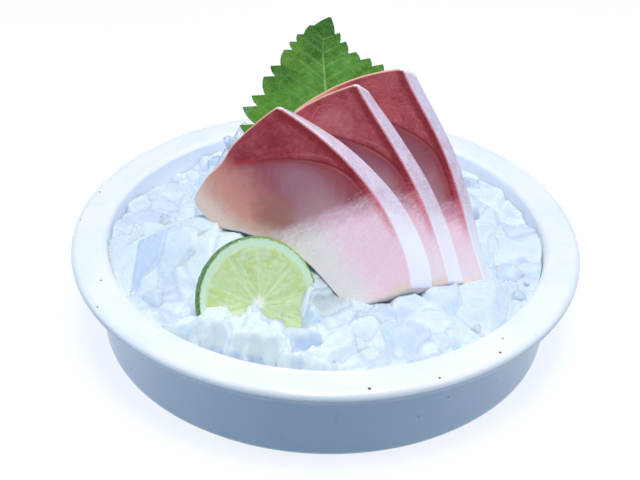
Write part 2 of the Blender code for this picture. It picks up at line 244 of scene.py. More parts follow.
# %% [markdown]
# Each material starts from the same few sources: a place on the piece (object coordinates in
# metres, or a named field), noise for unevenness, and cells for grain and pores.  Its colour is
# then painted in coats, each let through by a mask.

# %% Material helpers
class Finish:
    """A material under construction, with its Principled shader and pattern sources."""

    def __init__(self, name, **uniform):
        self.material = bpy.data.materials.new(name)
        self.material.use_nodes = True
        self.tree = self.material.node_tree
        self.shader = self.tree.nodes["Principled BSDF"]
        self.root = Shade(self.tree)
        self.place = self.root.node("ShaderNodeTexCoord", output=3)
        for socket, value in uniform.items():
            self.shader.inputs[socket.replace("_", " ")].default_value = value

    def field(self, name):
        """The vector stored on the mesh under a name."""
        return self.root.node("ShaderNodeAttribute", {"attribute_name": name}, output=1)

    def vector(self, x, y, z):
        return self.root.node("ShaderNodeCombineXYZ", sockets={0: x, 1: y, 2: z})

    def noise(self, size, place=None, detail=3.0, roughness=0.55):
        """Soft noise from 0 to 1 whose blotches are about size across."""
        sockets = {"Vector": place or self.place, "Scale": 1.0 / size, "Detail": detail,
                   "Roughness": roughness}
        return self.root.node("ShaderNodeTexNoise", {"normalize": True}, sockets)

    def cells(self, size, place=None, feature="F1", output=0):
        """Distance from the middle of a cell (output 0), or each cell's own colour (output 1)."""
        sockets = {"Vector": place or self.place, "Scale": 1.0 / size}
        return self.root.node("ShaderNodeTexVoronoi", {"feature": feature}, sockets, output)

    def feed(self, socket, value):
        self.tree.links.new(value.socket, self.shader.inputs[socket])

    def relief(self, *layers):
        """Bumps on the surface: each layer is (height 0 to 1, depth in metres)."""
        normal = None
        for height, depth in layers:
            sockets = {"Height": height, "Distance": depth, "Strength": 1.0}
            if normal:
                sockets["Normal"] = normal
            normal = self.root.node("ShaderNodeBump", sockets=sockets)
        self.feed("Normal", normal)


def paint(base, *coats):
    """Lay coats over a base colour in turn: each is a mask and the colour that it lets in."""
    for mask, colour in coats:
        base = mask.blend(base, colour)
    return base


def add_piece(name, mesh, material, slot, *replaced):
    """Put a finished mesh on the plate: its object stays at the origin, unturned."""
    item = bpy.data.objects.new(name, mesh)
    bpy.context.scene.collection.objects.link(item)
    mesh.materials.append(material)
    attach(item, "root")
    if replaced:
        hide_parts(*replaced)
    low, high = np.array(item.bound_box).min(0) / MM, np.array(item.bound_box).max(0) / MM
    print(f"{name}: {len(mesh.polygons)} faces, {low.round(1)} to {high.round(1)} mm")


# %% [markdown]
# ## The bowl
#
# A stoneware bowl is thrown and turned, so its shape is one profile carried round an axis.  The
# profile starts at the middle of the inside, runs up the wall, over the flat lip with its half
# round edge and down to the foot ring.  A Screw modifier could turn it too, but as a numpy grid
# the rows can be a little uneven, as a potter's hands leave them.

# %% The bowl's profile
rim_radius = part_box("bowl")[1].x
rim_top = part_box("bowl")[1].z
LIP_ROUNDING = 3.0 * MM           # half the lip's thickness
INNER_ROUNDING = 2.4 * MM
LIP_WIDTH = 12.4 * MM
CAVITY_RADIUS = 90.3 * MM
CAVITY_DRAFT = 2 * MM             # the inside is this much narrower at its floor
WALL_RADIUS = 94.2 * MM
WALL_DRAFT = 0.5 * MM
UNDER_LIP = 3 * MM                # rounding between the lip's underside and the wall
FLOOR_TOP = 7 * MM
CAVITY_FILLET = 12 * MM
FOOT_ROUNDING = 3 * MM
FOOT_RING = 12 * MM
RING_ROUNDING = 1 * MM
FOOT_SLOPE = 2 * MM               # width of the slope from the ring to the recess
FOOT_RECESS = 2 * MM


def arc(centre, radius, start, end, steps):
    """Points on an arc in the profile's plane, angles in degrees."""
    angle = np.radians(np.linspace(start, end, steps))
    return np.stack((centre[0] + radius * np.cos(angle), centre[1] + radius * np.sin(angle)), 1)


def line(start, end, steps):
    """Evenly spaced points on a straight stretch, ends left out."""
    t = np.linspace(0.0, 1.0, steps + 2)[1:-1, None]
    return (1 - t) * np.array(start) + t * np.array(end)


floor_radius = CAVITY_RADIUS - CAVITY_DRAFT
lip_under = rim_top - 2 * LIP_ROUNDING
foot_radius = WALL_RADIUS - WALL_DRAFT
ring_inner = foot_radius - FOOT_ROUNDING - FOOT_RING
recess_radius = ring_inner - RING_ROUNDING - FOOT_SLOPE
inner_edge = (rim_radius - LIP_WIDTH, rim_top - INNER_ROUNDING)
profile = np.concatenate((
    line((0, FLOOR_TOP), (floor_radius - CAVITY_FILLET, FLOOR_TOP), 14),
    arc((floor_radius - CAVITY_FILLET, FLOOR_TOP + CAVITY_FILLET), CAVITY_FILLET, -90, 0, 10),
    line((floor_radius, FLOOR_TOP + CAVITY_FILLET), (CAVITY_RADIUS, rim_top - 2 * INNER_ROUNDING), 8),
    arc(inner_edge, INNER_ROUNDING, 180, 90, 10),
    line((inner_edge[0], rim_top), (rim_radius - LIP_ROUNDING, rim_top), 8),
    arc((rim_radius - LIP_ROUNDING, rim_top - LIP_ROUNDING), LIP_ROUNDING, 90, -90, 19),
    line((rim_radius - LIP_ROUNDING, lip_under), (WALL_RADIUS + UNDER_LIP, lip_under), 3),
    arc((WALL_RADIUS + UNDER_LIP, lip_under - UNDER_LIP), UNDER_LIP, 90, 180, 7),
    line((WALL_RADIUS, lip_under - UNDER_LIP), (foot_radius, FOOT_ROUNDING), 22),
    arc((foot_radius - FOOT_ROUNDING, FOOT_ROUNDING), FOOT_ROUNDING, 0, -90, 8),
    line((foot_radius - FOOT_ROUNDING, 0), (ring_inner, 0), 4),
    arc((ring_inner, RING_ROUNDING), RING_ROUNDING, -90, -180, 5),
    line((ring_inner - RING_ROUNDING, RING_ROUNDING), (recess_radius, FOOT_RECESS), 2),
    line((recess_radius, FOOT_RECESS), (0, FOOT_RECESS), 12)))
print("profile points:", len(profile), "radius", profile[:, 0].max() / MM)

# %% The bowl's surface
TURN_STEPS = 240
THROWN_UNEVENNESS = 0.12 * MM
THROWN_WAVE = 70 * MM             # from one thick place of the wall to the next
EDGE_KEEP = 1 * MM                # the wall stays even this near to its edges


def turned_bowl():
    """The profile carried round Z; wall rows waver by a soft random wave of the angle."""
    angle = np.arange(TURN_STEPS) * 2 * math.pi / TURN_STEPS
    radius, height = profile[:, 0, None], profile[:, 1, None]
    ring_x, ring_y = np.cos(angle) * radius, np.sin(angle) * radius
    waver = soft_wave(ring_x, ring_y + 3 * height, THROWN_WAVE, seed=3) * THROWN_UNEVENNESS
    sides = (height > EDGE_KEEP) & (height < rim_top - EDGE_KEEP) & (radius < rim_radius - EDGE_KEEP)
    radius = radius + np.where(sides, waver, 0.0)
    lid = (radius > CAVITY_RADIUS) & (height > rim_top - EDGE_KEEP)
    height = height - np.where(lid, np.abs(waver), 0.0)
    return np.stack((np.cos(angle) * radius, np.sin(angle) * radius, height + 0 * angle), -1)


bowl_mesh = wrapped_mesh("bowl_body", turned_bowl())

# %% [markdown]
# The glaze is a cool satin white.  Where real glaze runs thin over the lip's edge it lets a
# little of the clay through, and iron in the clay burns out as small dark specks.  Under the
# foot the potter wiped the glaze off, so there the clay is bare and rough.

# %% Glaze
GLAZE_WHITE = seen(250, 252, 255)
GLAZE_SHADE = seen(240, 248, 255)
IRON = seen(92, 84, 84)
BARE_CLAY = seen(206, 196, 184)
# scattered specks: spacing of the cells, size, and the share of the cells that have one
SPECKS = ((11 * MM, 0.35 * MM, 0.30), (5.3 * MM, 0.16 * MM, 0.22))
# the larger specks on the lip: place round it in degrees, from the axis, and size, in mm
LIP_SPECKS = ((-80.6, 101.9, 0.75), (-66.0, 102.4, 0.6), (-50.5, 101.6, 0.65), (-40.1, 103.6, 0.6),
              (-46.5, 96.5, 0.4), (166.0, 101.5, 0.5), (178.5, 103.0, 0.45), (205.0, 96.2, 0.5))


def speck_mask(finish, spacing, size, share):
    """Dots of a size, in the middle of a share of the cells of a given spacing."""
    distance = finish.cells(spacing)
    lucky = finish.cells(spacing, output=1).parts()[0]
    return distance.step(size / spacing * 1.2, size / spacing * 0.7) * lucky.step(share, share * 0.98)


def glaze_material():
    """A cloudy white glaze with iron specks, wiped off near the ground."""
    glaze = Finish("white_glaze", IOR=1.5, Coat_Weight=0.25, Coat_Roughness=0.12)
    cloud = glaze.noise(22 * MM).step(0.35, 0.7)
    larger, smaller = (speck_mask(glaze, *speck) for speck in SPECKS)
    specks = larger.at_least(smaller)
    for turn, radius, size in LIP_SPECKS:
        turn = math.radians(turn)
        centre = (radius * MM * math.cos(turn), radius * MM * math.sin(turn), rim_top)
        away = glaze.root.node("ShaderNodeVectorMath", {"operation": "DISTANCE"},
                               {0: glaze.place, 1: centre}, output=1)
        specks = specks.at_least(away.step(size * 1.1 * MM, size * 0.6 * MM))
    bare = glaze.place.parts()[2].step(0.9 * MM, 0.3 * MM)
    grain = glaze.noise(1.2 * MM, detail=5)
    white = cloud.blend(GLAZE_WHITE, GLAZE_SHADE)
    glaze.feed("Base Color", paint(white, (specks, IRON), (bare, BARE_CLAY)))
    glaze.feed("Roughness", bare * 0.45 + 0.24 + glaze.noise(9 * MM) * 0.12)
    glaze.relief((glaze.noise(4 * MM, detail=1), 0.06 * MM), (grain * (bare * 0.9 + 0.1), 0.12 * MM))
    return glaze.material


add_piece("glazed_bowl", bowl_mesh, glaze_material(), "glaze", "bowl")


# %% [markdown]
# ## The slices of yellowtail
#
# A slice is cut with the knife held slanting, so its two faces have the same outline but the
# back one is set over to the side, and between them shows a slanting band of silvery fat where
# the skin was.  The outline is worked out from a few lengths: the skin side is a bowed chord,
# and the slice hangs off it down to its thin tip.

# %% Sizes of the slices
LEAN = math.radians(33.5)         # slices and leaf lean back by this much
STACK_FOOT = np.array((21.3, -48.5, 42.0)) * MM
THICKNESS = 7.4 * MM
PITCH = 8.0 * MM
HEEL = np.array((8.4, 24.4)) * MM
BELLY_HOLLOW = 5.8 * MM
TIP_FULLNESS = 2.2 * MM
SOLE_BULGE = 1.0 * MM
CORNER_RADII = np.array((1.2, 4.0, 1.4, 1.5)) * MM
EDGE_ROUNDING = 0.8 * MM
BEND_START = -4 * MM
BEND_RADIUS = 150 * MM
SLANT_HEIGHTS = (0.0, 0.55, 0.85, 1.0)
# For each slice, in mm and degrees: the foot of its skin side, that side's turn, chord and bow
# (depth, where it is fullest, sharpness), the tip (along, inward), the crown's rise and dip, how
# far the back face is set over at the slant heights and how far it drops at the top, where the
# muscle seam turns down, how pale its red is, and how far the loin's border is shifted.
SLICES = (
    {"name": "slice_front", "foot": (12.0, 3.4), "turn": 37.6, "chord": 87.0,
     "bow": (10.0, 0.45, 1.0), "tip": (77.5, 50.5), "crown": (3.6, 1.3),
     "slant": (9.0, 9.0, 7.4, 4.8), "drop": 1.4, "seam": 45, "paleness": 0.0, "border": 0.0},
    {"name": "slice_middle", "foot": (27.6, 5.2), "turn": 26.4, "chord": 86.0,
     "bow": (4.2, 0.43, 1.6), "tip": (83.0, 46.0), "crown": (2.9, 0.4),
     "slant": (6.6, 6.6, 5.8, 4.4), "drop": 1.6, "seam": 45, "paleness": 0.3, "border": 0.0},
    {"name": "slice_back", "foot": (42.6, 5.4), "turn": 22.4, "chord": 91.0,
     "bow": (3.6, 0.55, 2.0), "tip": (90.0, 50.0), "crown": (4.3, 0.0),
     "slant": (3.4, 4.6, 5.2, 5.0), "drop": 0.6, "seam": 50, "paleness": 0.6, "border": 3.5},
)


# %% The outline of a slice
SIDE_STEPS = 80                   # stretches in each side
CORNER_STEPS = 12


def bulged(start, end, bulge):
    """Points from start to end, pushed to the left of the way by bulge(t)."""
    way = end - start
    left = np.array((-way[1], way[0])) / np.linalg.norm(way)
    t = np.linspace(0.0, 1.0, SIDE_STEPS + 1)
    return start + t[:, None] * way + bulge(t)[:, None] * left


def along_edge(edge, distance, from_end=False):
    """The point at a distance along an edge, and the rest of the edge beyond it."""
    points = edge[::-1] if from_end else edge
    run = np.concatenate(([0.0], np.cumsum(np.linalg.norm(np.diff(points, axis=0), axis=1))))
    rest = points[run > distance]
    place = np.array([np.interp(distance, run, points[:, i]) for i in range(2)])
    return place, (rest[::-1] if from_end else rest)


def slice_edges(spec):
    """The four sides in turn: skin, crown, belly and sole, as points of the stack's plane."""
    turn = math.radians(spec["turn"])
    along = np.array((-math.sin(turn), math.cos(turn)))
    inward = np.array((-math.cos(turn), -math.sin(turn)))
    foot = np.array(spec["foot"]) * MM
    top = foot + spec["chord"] * MM * along
    tip = foot + spec["tip"][0] * MM * along + spec["tip"][1] * MM * inward
    heel = foot + HEEL[0] * along + HEEL[1] * inward
    bow, fullest, sharpness = spec["bow"]
    rise, dip = spec["crown"]
    shift = math.log(0.5) / math.log(fullest)
    edges = (
        bulged(foot, top, lambda t: -bow * MM * (4 * t ** shift * (1 - t ** shift)) ** sharpness),
        bulged(top, tip, lambda t: (dip * bump(t, 0.62, 0.16) - rise * np.sin(math.pi * t) ** 0.7) * MM),
        bulged(tip, heel, lambda t: (BELLY_HOLLOW * bump(t, 0.62, 0.42)
                                     - TIP_FULLNESS * bump(t, 0.16, 0.16))),
        bulged(heel, foot, lambda t: -SOLE_BULGE * np.sin(math.pi * t)))
    return edges, foot, along, inward


def rounded_outline(edges, count):
    """The four sides joined by parabolic corners and spaced evenly, anticlockwise."""
    points = []
    for index, edge in enumerate(edges):
        before = CORNER_RADII[index - 1]
        after = CORNER_RADII[index]
        following = edges[(index + 1) % len(edges)]
        stretch = along_edge(edge, before)[1]
        into, stretch = along_edge(stretch, after, from_end=True)
        out = along_edge(following, after)[0]
        t = np.linspace(0.0, 1.0, CORNER_STEPS)[:, None]
        corner = (1 - t) ** 2 * into + 2 * t * (1 - t) * edge[-1] + t ** 2 * out
        points += [stretch, corner]
    points = np.concatenate(points)
    loop = np.concatenate((points, points[:1]))
    run = np.concatenate(([0.0], np.cumsum(np.linalg.norm(np.diff(loop, axis=0), axis=1))))
    even = np.arange(count) * run[-1] / count
    return np.stack([np.interp(even, run, loop[:, i]) for i in range(2)], 1)


# %% [markdown]
# The slice's skin is one grid: every column starts at the middle of the front face, runs out to
# the outline, over the soft edge, along the slanting side, and back over the back face to its
# middle.  Its three fields tell the material where each point is in the fish: how far along the
# skin, how deep below it, how near to each edge, and how near to the seam between the muscles.

# %% The surface of a slice
OUTLINE_POINTS = 300
FACE_ROWS = 46
KNIFE_WAVE = 0.16 * MM            # unevenness that the knife leaves on a face
SEAM_RISE = 3.5 * MM              # how deep the muscle seam lies below the skin at its start
SEAM_CURVE = 0.0215 / MM
SEAM_GROOVE = 0.22 * MM
RIPPLE_LENGTH = 26 * MM


def section_rows():
    """How far in from the outline, how deep and how far across each row of the grid lies."""
    face = 1.0 - np.linspace(0.06, 1.0, FACE_ROWS) ** 0.8
    turn = np.linspace(0, math.pi / 2, 8)[1:]
    inset = EDGE_ROUNDING * (1 - np.sin(turn))
    depth = EDGE_ROUNDING * (1 - np.cos(turn))
    side = np.linspace(EDGE_ROUNDING, THICKNESS - EDGE_ROUNDING, 14)[1:-1]
    in_front = np.concatenate((face * 0, depth))
    insets = np.concatenate((face * 0 + EDGE_ROUNDING, inset))
    depths = np.concatenate((in_front, side, THICKNESS - in_front[::-1]))
    insets = np.concatenate((insets, side * 0, insets[::-1]))
    shrink = np.concatenate((face, depth * 0, side * 0, depth * 0, face[::-1]))
    return insets, depths, shrink


def inset_outline(outline, distance):
    """The outline moved inwards along its own normals."""
    way = np.roll(outline, -1, axis=0) - np.roll(outline, 1, axis=0)
    normal = np.stack((-way[:, 1], way[:, 0]), 1) / np.linalg.norm(way, axis=1)[:, None]
    return outline + distance * normal


def distance_to(points, edge):
    """The distance from each point to the nearest point of a finely drawn edge."""
    fine = np.stack([np.interp(np.linspace(0, 1, 400), np.linspace(0, 1, len(edge)), edge[:, i])
                     for i in range(2)], 1)
    nearest = [np.min(np.hypot(*(block[:, None] - fine).transpose(2, 0, 1)), axis=1)
               for block in np.array_split(points, 24)]
    return np.concatenate(nearest)


def sag(across):
    """How far the stack has sunk back at a place across it: a parabola left of its start."""
    return np.clip(BEND_START - across, 0.0, None) ** 2 / (2 * BEND_RADIUS)


def stand_in_stack(across, depth, up):
    """From the leaning plane's own axes to the plate: leant back, and set on its foot."""
    depth = depth + sag(across)
    y = math.cos(LEAN) * depth + math.sin(LEAN) * up
    z = -math.sin(LEAN) * depth + math.cos(LEAN) * up
    return np.stack((across, y, z), -1) + STACK_FOOT


def slice_mesh(spec, index):
    """Rings between the middle of each face and the outline, slanted, bent and set in place."""
    edges, foot, along, inward = slice_edges(spec)
    outline = rounded_outline(edges, OUTLINE_POINTS)
    insets, depths, shrink = section_rows()
    half_way = SIDE_STEPS // 2
    middle = 0.5 * outline.mean(0) + 0.5 * (edges[0][half_way] + edges[2][half_way]) / 2
    rings = np.stack([inset_outline(outline, inset) for inset in insets])
    rings = rings + shrink[:, None, None] * (middle - rings)

    local = rings - foot
    place = np.stack((local @ along, local @ inward), -1)
    skin, crown, belly, sole = [distance_to(rings.reshape(-1, 2), edge).reshape(rings.shape[:2])
                                for edge in edges]
    beyond = np.clip(place[..., 0] - spec["seam"] * MM, 0, None)
    from_seam = skin - SEAM_RISE - SEAM_CURVE * beyond ** 2
    share = (depths / THICKNESS)[:, None] + 0 * skin
    ripple = soft_wave(place[..., 0], place[..., 1], RIPPLE_LENGTH, seed=20 + index)
    groove = np.exp(-(from_seam / (0.5 * MM)) ** 2) * smooth_step(30 * MM, 45 * MM, place[..., 0])
    relief = KNIFE_WAVE * ripple - SEAM_GROOVE * groove
    faces_in = smooth_step(0.0, 3 * MM, np.minimum.reduce((skin, crown, belly, sole)))
    depth = depths[:, None] - relief * faces_in * (1 - 2 * share)

    height = (rings[..., 1] - outline[:, 1].min()) / np.ptp(outline[:, 1])
    slant = np.interp(height, SLANT_HEIGHTS, spec["slant"])
    across = rings[..., 0] + share * slant * MM
    up = rings[..., 1] - share * spec["drop"] * MM * height ** 2
    mesh = wrapped_mesh(f"{spec['name']}_body", stand_in_stack(across, index * PITCH + depth, up))
    add_field(mesh, "in_fish", close_grid(np.concatenate((place, share[..., None] * MM), -1)) / MM)
    add_field(mesh, "edges", close_grid(np.stack((skin, crown, np.minimum(belly, sole)), -1)) / MM)
    kind = np.stack((from_seam / MM, 0 * skin + spec["paleness"], 0 * skin + spec["border"]), -1)
    add_field(mesh, "muscle", close_grid(kind))
    return mesh


slice_meshes = [slice_mesh(spec, index) for index, spec in enumerate(SLICES)]
for spec, mesh in zip(SLICES, slice_meshes):
    points = np.empty(len(mesh.vertices) * 3, np.float32)
    mesh.vertices.foreach_get("co", points)
    points = points.reshape(-1, 3) / MM
    low, high = (np.array(corner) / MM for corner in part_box(spec["name"]))
    below, above = (points.min(0) - low).round(2), (points.max(0) - high).round(2)
    print(spec["name"], "differs from the frame by", below, above, "mm")


# %% [markdown]
# Raw yellowtail is dark red under the skin at the back, greyish where the loin lets the light
# through, and pale pink with fine white fibres towards the belly.  All of that follows the
# anatomy, so the material reads the fields of the slice.  In every zone p is the distance along
# the skin from the foot, q the distance inward from it, and skin, crown, belly and seam are
# distances to those edges, all in mm.  The colours come zone by zone: first the red muscle, then
# the loin, then the pale belly, then the fat.

# %% Red muscle
LOIN_RED = seen(145, 43, 53)
LOIN_LIGHT = seen(174, 76, 86)
BLOOD_RED = seen(136, 26, 34)
SEAM_DARK = seen(126, 34, 46)
SEAM_BRIGHT = seen(180, 56, 60)
RED_FLECK = seen(200, 120, 128)
CROWN_PINK = seen(214, 156, 142)


def red_muscle(fish, p, q, skin, seam, paleness):
    """Dark under the skin, bright where the seam starts, flecked where the slice is paler."""
    mottle, blotch = fish.noise(1.8 * MM, detail=4), fish.noise(8 * MM, detail=2)
    fleck = fish.noise(0.8 * MM, detail=4, roughness=0.65)
    light = (mottle * 0.6 + blotch * 0.8 + paleness * 0.2 - 0.2).step(0.28, 0.74)
    fold = (seam + 3.2 + (mottle - 0.5) * 2.0).size().step(1.0, 0.1) * p.step(72, 62)
    dp, dq = p - 74.0, q - 16.0
    away = (dp * dp + dq * dq) ** 0.5 + (blotch - 0.5) * 5.0
    patch = (paleness - 0.3).size().step(0.2, 0.1)
    strip = (skin + (mottle - 0.5) * 2.0).step(5.0, 2.6) * p.step(36, 46)
    return paint(
        light.blend(LOIN_RED, LOIN_LIGHT),
        (fleck.step(0.5, 0.7) * (paleness * 0.7 + 0.12), RED_FLECK),
        (fold * 0.3, RED_FLECK),
        (away.step(9.8, 6.0) * patch * (mottle * 0.6 + 0.1), RED_FLECK),
        ((away - 9.5).size().step(0.6, 0.1) * patch * q.step(10, 17) * 0.4, RED_FLECK),
        (strip * 0.9, BLOOD_RED),
        (seam.size().step(1.5, 0.1) * 0.8, SEAM_DARK),
        (seam.size().step(3.4, 0.5) * q.step(14, 25), SEAM_BRIGHT),
        (q.step(25, 35), CROWN_PINK))


# %% Loin
MAUVE = seen(158, 84, 96)
GREY_LOIN = seen(167, 116, 130)
LOWER_LOIN = seen(180, 140, 148)
LOIN_RING = seen(190, 146, 152)
SALMON = seen(216, 151, 138)
# brown painted shade, where the slice's surface turns down and away from the light
BELLY_SHADE_BROWN = seen(164, 114, 104)
BELLY_CREAM = seen(212, 184, 166)
# cream of the thin tip, partly real and partly painted light shining through it
TIP_CREAM_AND_GLOW = seen(234, 213, 199)
# painted light: a pale glow where light shines through the thin belly edge
BELLY_EDGE_GLOW = seen(226, 220, 224)
# painted shadow that the slice in front casts on the slices behind it
SLICE_SHADOW_MAUVE = seen(126, 58, 74)


def loin_muscle(fish, p, q, seam, belly, paleness):
    """A grey oval with faint rings in mauve, turning to salmon and cream at the belly, with painted light
    and shade: brown shade low down, the shadow of the slice in front, and a pale glow at the thin belly
    edge and tip.
    """
    uneven = fish.noise(5 * MM, detail=3) - 0.5
    dp, dq = (p - 57.0) / 14.0, (q - 11.0) / 11.0
    oval = (dp * dp + dq * dq) ** 0.5
    ring_place = fish.vector(oval * 4.5 + uneven * 1.2 + 0.6, p * 0.02, paleness * 20.0)
    rings = fish.noise(1.0, ring_place, detail=2)
    clear = oval.step(0.0, 1.2)
    greyness = 1.0 - paleness * 0.9
    # painted shadow of the slice in front, on the paler slices behind, beside its band
    deep = seam.step(13, 2) * p.step(44, 58) * paleness.step(0.05, 0.3)
    # painted shade: a brown patch low on the slice, where its surface turns away from the light
    dp, dq = (p - 53.0) / 11.0, (q - 27.0) / 9.0
    shade_patch = dp * dp + dq * dq
    # towards the tip the cream is partly painted light shining through the thin flesh
    cream = p.step(60, 70).blend(BELLY_CREAM, TIP_CREAM_AND_GLOW)
    stain = (seam + uneven * 6.0).step(8.5, 0.5) * q.step(38, 26) * greyness
    return paint(
        ((oval + uneven * 0.7).step(1.25, 0.2) * greyness).blend(MAUVE, GREY_LOIN),
        (p.step(58, 44) * q.step(-2, 10), LOWER_LOIN),
        (rings.step(0.48, 0.7) * clear * 0.2, LOIN_RING),
        (rings.step(0.5, 0.3) * clear * 0.14, MAUVE),
        (deep * 0.55, SLICE_SHADOW_MAUVE),
        ((q + uneven * 8.0).step(17, 38), SALMON),
        ((shade_patch + uneven * 0.8).step(1.3, 0.0) * 0.85, BELLY_SHADE_BROWN),
        ((belly + uneven * 3.0).step(8.5, 0.5), cream),
        # the tip: cream flesh, made paler by painted light shining through it
        ((q + uneven * 6.0).step(36, 47) * 0.85, TIP_CREAM_AND_GLOW),
        # painted light along the thin belly edge
        (belly.step(3.2, 0.2) * q.step(48, 38) * 0.6, BELLY_EDGE_GLOW),
        (stain * 0.4, LOIN_RED),
        (seam.step(3.6, 0.6) * q.step(30, 20) * 0.5, LOIN_RED))


# %% Pale belly
PALE_PINK = seen(252, 214, 228)
PALE_WHITE = seen(237, 232, 228)
PALE_LOW = seen(246, 232, 238)
PINK_DEEP = seen(230, 158, 182)
BORDER_MAUVE = seen(184, 138, 151)
FIBRE_WHITE = seen(255, 244, 250)
SOLE_PEACH = seen(240, 218, 200)
ROSE = seen(224, 128, 142)


def pale_belly(fish, p, skin, q, belly, border, fibre, paleness):
    """Pink by the skin, whiter inwards, deeper at the border of the loin, peach at the sole."""
    mottle = fish.noise(1.6 * MM, detail=4)
    uneven = mottle - 0.5
    deep = border.step(-11, -1) * skin.step(18, 5) * (paleness * 0.9 + 0.45)
    light_fibre = (fibre * 0.6 + mottle * 0.5).step(0.5, 0.74)
    dark_fibre = (fibre * 0.7 + mottle * 0.4).step(0.5, 0.36) * border.step(-16, -2)
    rose = (skin + uneven * 6.0).step(5.0, 0.8) * p.step(16, 27)
    return paint(
        (q + uneven * 5.0).step(6, 21).blend(PALE_PINK, PALE_WHITE),
        (p.step(24, 8) * paleness.step(0.0, 0.3) * 0.8, PALE_LOW),
        (deep.at_most(1.0), PINK_DEEP),
        (border.step(-8.5, 1.0) * (skin.step(16, 6) * 0.3 + 0.6), BORDER_MAUVE),
        (light_fibre * 0.36, FIBRE_WHITE),
        (dark_fibre * 0.3, BORDER_MAUVE),
        (rose * (mottle.step(0.3, 0.6) * 0.5 + 0.45), ROSE),
        (belly.step(6, 1) * p.step(8, 1), SOLE_PEACH))


# %% Fat under the skin
FAT = seen(234, 222, 240)
FAT_SHADE = seen(210, 190, 208)
FAT_PINK = seen(206, 164, 182)
# painted light: the band's fat is whiter lower down, where it faces more light
FAT_LOW_LIT = seen(250, 248, 254)
FAT_FRINGE = seen(228, 158, 166)
SKIN_LINE = seen(234, 186, 160)
RED_SPECK = seen(198, 76, 90)
FAT_WHITE = seen(252, 248, 250)


def fat_over(fish, colour, p, skin, crown, paleness):
    """A soft pink fringe, then mottled lavender fat, painted whiter lower down where the band faces more
    light.
    """
    grain = fish.noise(0.9 * MM, detail=4, roughness=0.65)
    uneven = grain - 0.5
    fringe = p.step(16, 34).blend(PALE_PINK, FAT_FRINGE)
    pinkness = (p - 45.0).size().step(22, 6) * paleness.step(0.1, 0.5)
    mottled = (grain * 0.7 + fish.noise(6 * MM) * 0.4).step(0.38, 0.7)
    # painted light: the fat turns whiter lower down, where the band faces more light
    fat = paint(pinkness.blend(FAT_SHADE, FAT_PINK), (mottled, FAT), (p.step(40, 14), FAT_LOW_LIT))
    tuft = (crown + skin * 0.6 + uneven * 4.0).step(2.2, 1.0) * skin.step(3.5, 1.5)
    return paint(
        colour,
        ((skin + uneven * 0.8).step(1.5, 0.7) * 0.8, fringe),
        (crown.step(1.2, 0.5) * p.step(60, 70), SKIN_LINE),
        ((skin + uneven * 0.6).step(0.75, 0.3), fat),
        (tuft * p.step(60, 70), FAT_WHITE))


# %% [markdown]
# The border between loin and belly is ragged, because the fibres cross it; there the flesh is
# wrinkled, and below it blood flecks the flesh beside the skin.

# %% The slice's finish
BORDER_START = 36.5
BORDER_SLOPE = 0.25               # the border between loin and belly rises inwards


def flecked(colour, p, skin, mottle, paleness):
    """Red specks beside the skin: a dense patch at the border, and a thin trail below it."""
    uneven, behind = mottle - 0.5, paleness.step(0.0, 0.3)
    patch = (skin + uneven * 6.0 - behind * 2.0).step(6.5, 1.0)
    patch = patch * (p + behind * 3.0).step(27, 38) * p.step(50, 42)
    trail = (skin + uneven * 4.0).step(3.6, 1.2) * p.step(15, 30) * p.step(42, 32)
    return paint(
        colour,
        (patch * mottle.step(0.38, 0.62) * (0.75 - paleness * 0.3), RED_SPECK),
        (trail * mottle.step(0.5, 0.64) * 0.45, RED_SPECK))


def fish_material():
    """Zones by anatomy, fibres and mottling by noise, a moist surface over soft flesh."""
    fish = Finish("yellowtail", IOR=1.4, Coat_Weight=0.08, Coat_Roughness=0.2, Subsurface_Weight=0.2,
                  Subsurface_Radius=(1.0, 0.4, 0.35), Subsurface_Scale=0.002)
    p, q, share = fish.field("in_fish").parts()
    skin, crown, belly = fish.field("edges").parts()
    seam, paleness, lift = fish.field("muscle").parts()
    wander = fish.noise(7 * MM, detail=2)
    across = p + skin * (0.5 - p * 0.011) + (wander - 0.5) * 5.0
    fibre = fish.noise(1.0, fish.vector(across * 1.5, skin * 0.1, paleness * 30.0 + share), detail=3)
    wide = fish.noise(1.0, fish.vector(across * 0.45, skin * 0.07, paleness * 30.0 + share), detail=2)

    border = p - skin * BORDER_SLOPE - BORDER_START + lift
    ragged = border + (fibre - 0.5) * 5.0 + (wide - 0.5) * 7.0
    red = red_muscle(fish, p, q, skin, seam, paleness)
    dark = seam.step(-0.4, 0.8).blend(red, loin_muscle(fish, p, q, seam, belly, paleness))
    pale = pale_belly(fish, p, skin, q, belly, border, fibre, paleness)
    mottle = fish.noise(1.3 * MM, detail=4, roughness=0.6)
    wrinkles = (fibre * 0.5 + wide * 0.5).step(0.53, 0.64) * border.size().step(5.0, 1.0)
    wrinkles = wrinkles * (mottle + paleness * 0.5)
    colour = paint(pale, (ragged.step(-1.0, 3.4), dark), (wrinkles * 0.6, FIBRE_WHITE))
    colour = flecked(colour, p, skin, mottle, paleness)
    colour = fat_over(fish, colour, p, skin, crown, paleness)

    moist = fish.noise(2.2 * MM, detail=3)
    fish.feed("Base Color", colour)
    fish.feed("Roughness", moist * 0.2 + 0.3)
    fish.relief((fibre, 0.10 * MM), (moist, 0.10 * MM), (fish.noise(0.7 * MM, detail=3), 0.05 * MM))
    return fish.material


flesh = fish_material()
for spec, mesh in zip(SLICES, slice_meshes):
    add_piece(f"{spec['name']}_flesh", mesh, flesh, "fish", spec["name"])


# %% [markdown]
# ## The slice of lime
#
# A cut lime is a disc of ten or so wedges of pulp round a white core, parted by thin walls and
# set in a ring of pith under the green rind.  The grid is polar; the pulp stands a little
# proud of its walls.  How far each point lies inside its wedge is stored as a field, because
# the wedge's shape drives both the relief and the colour.

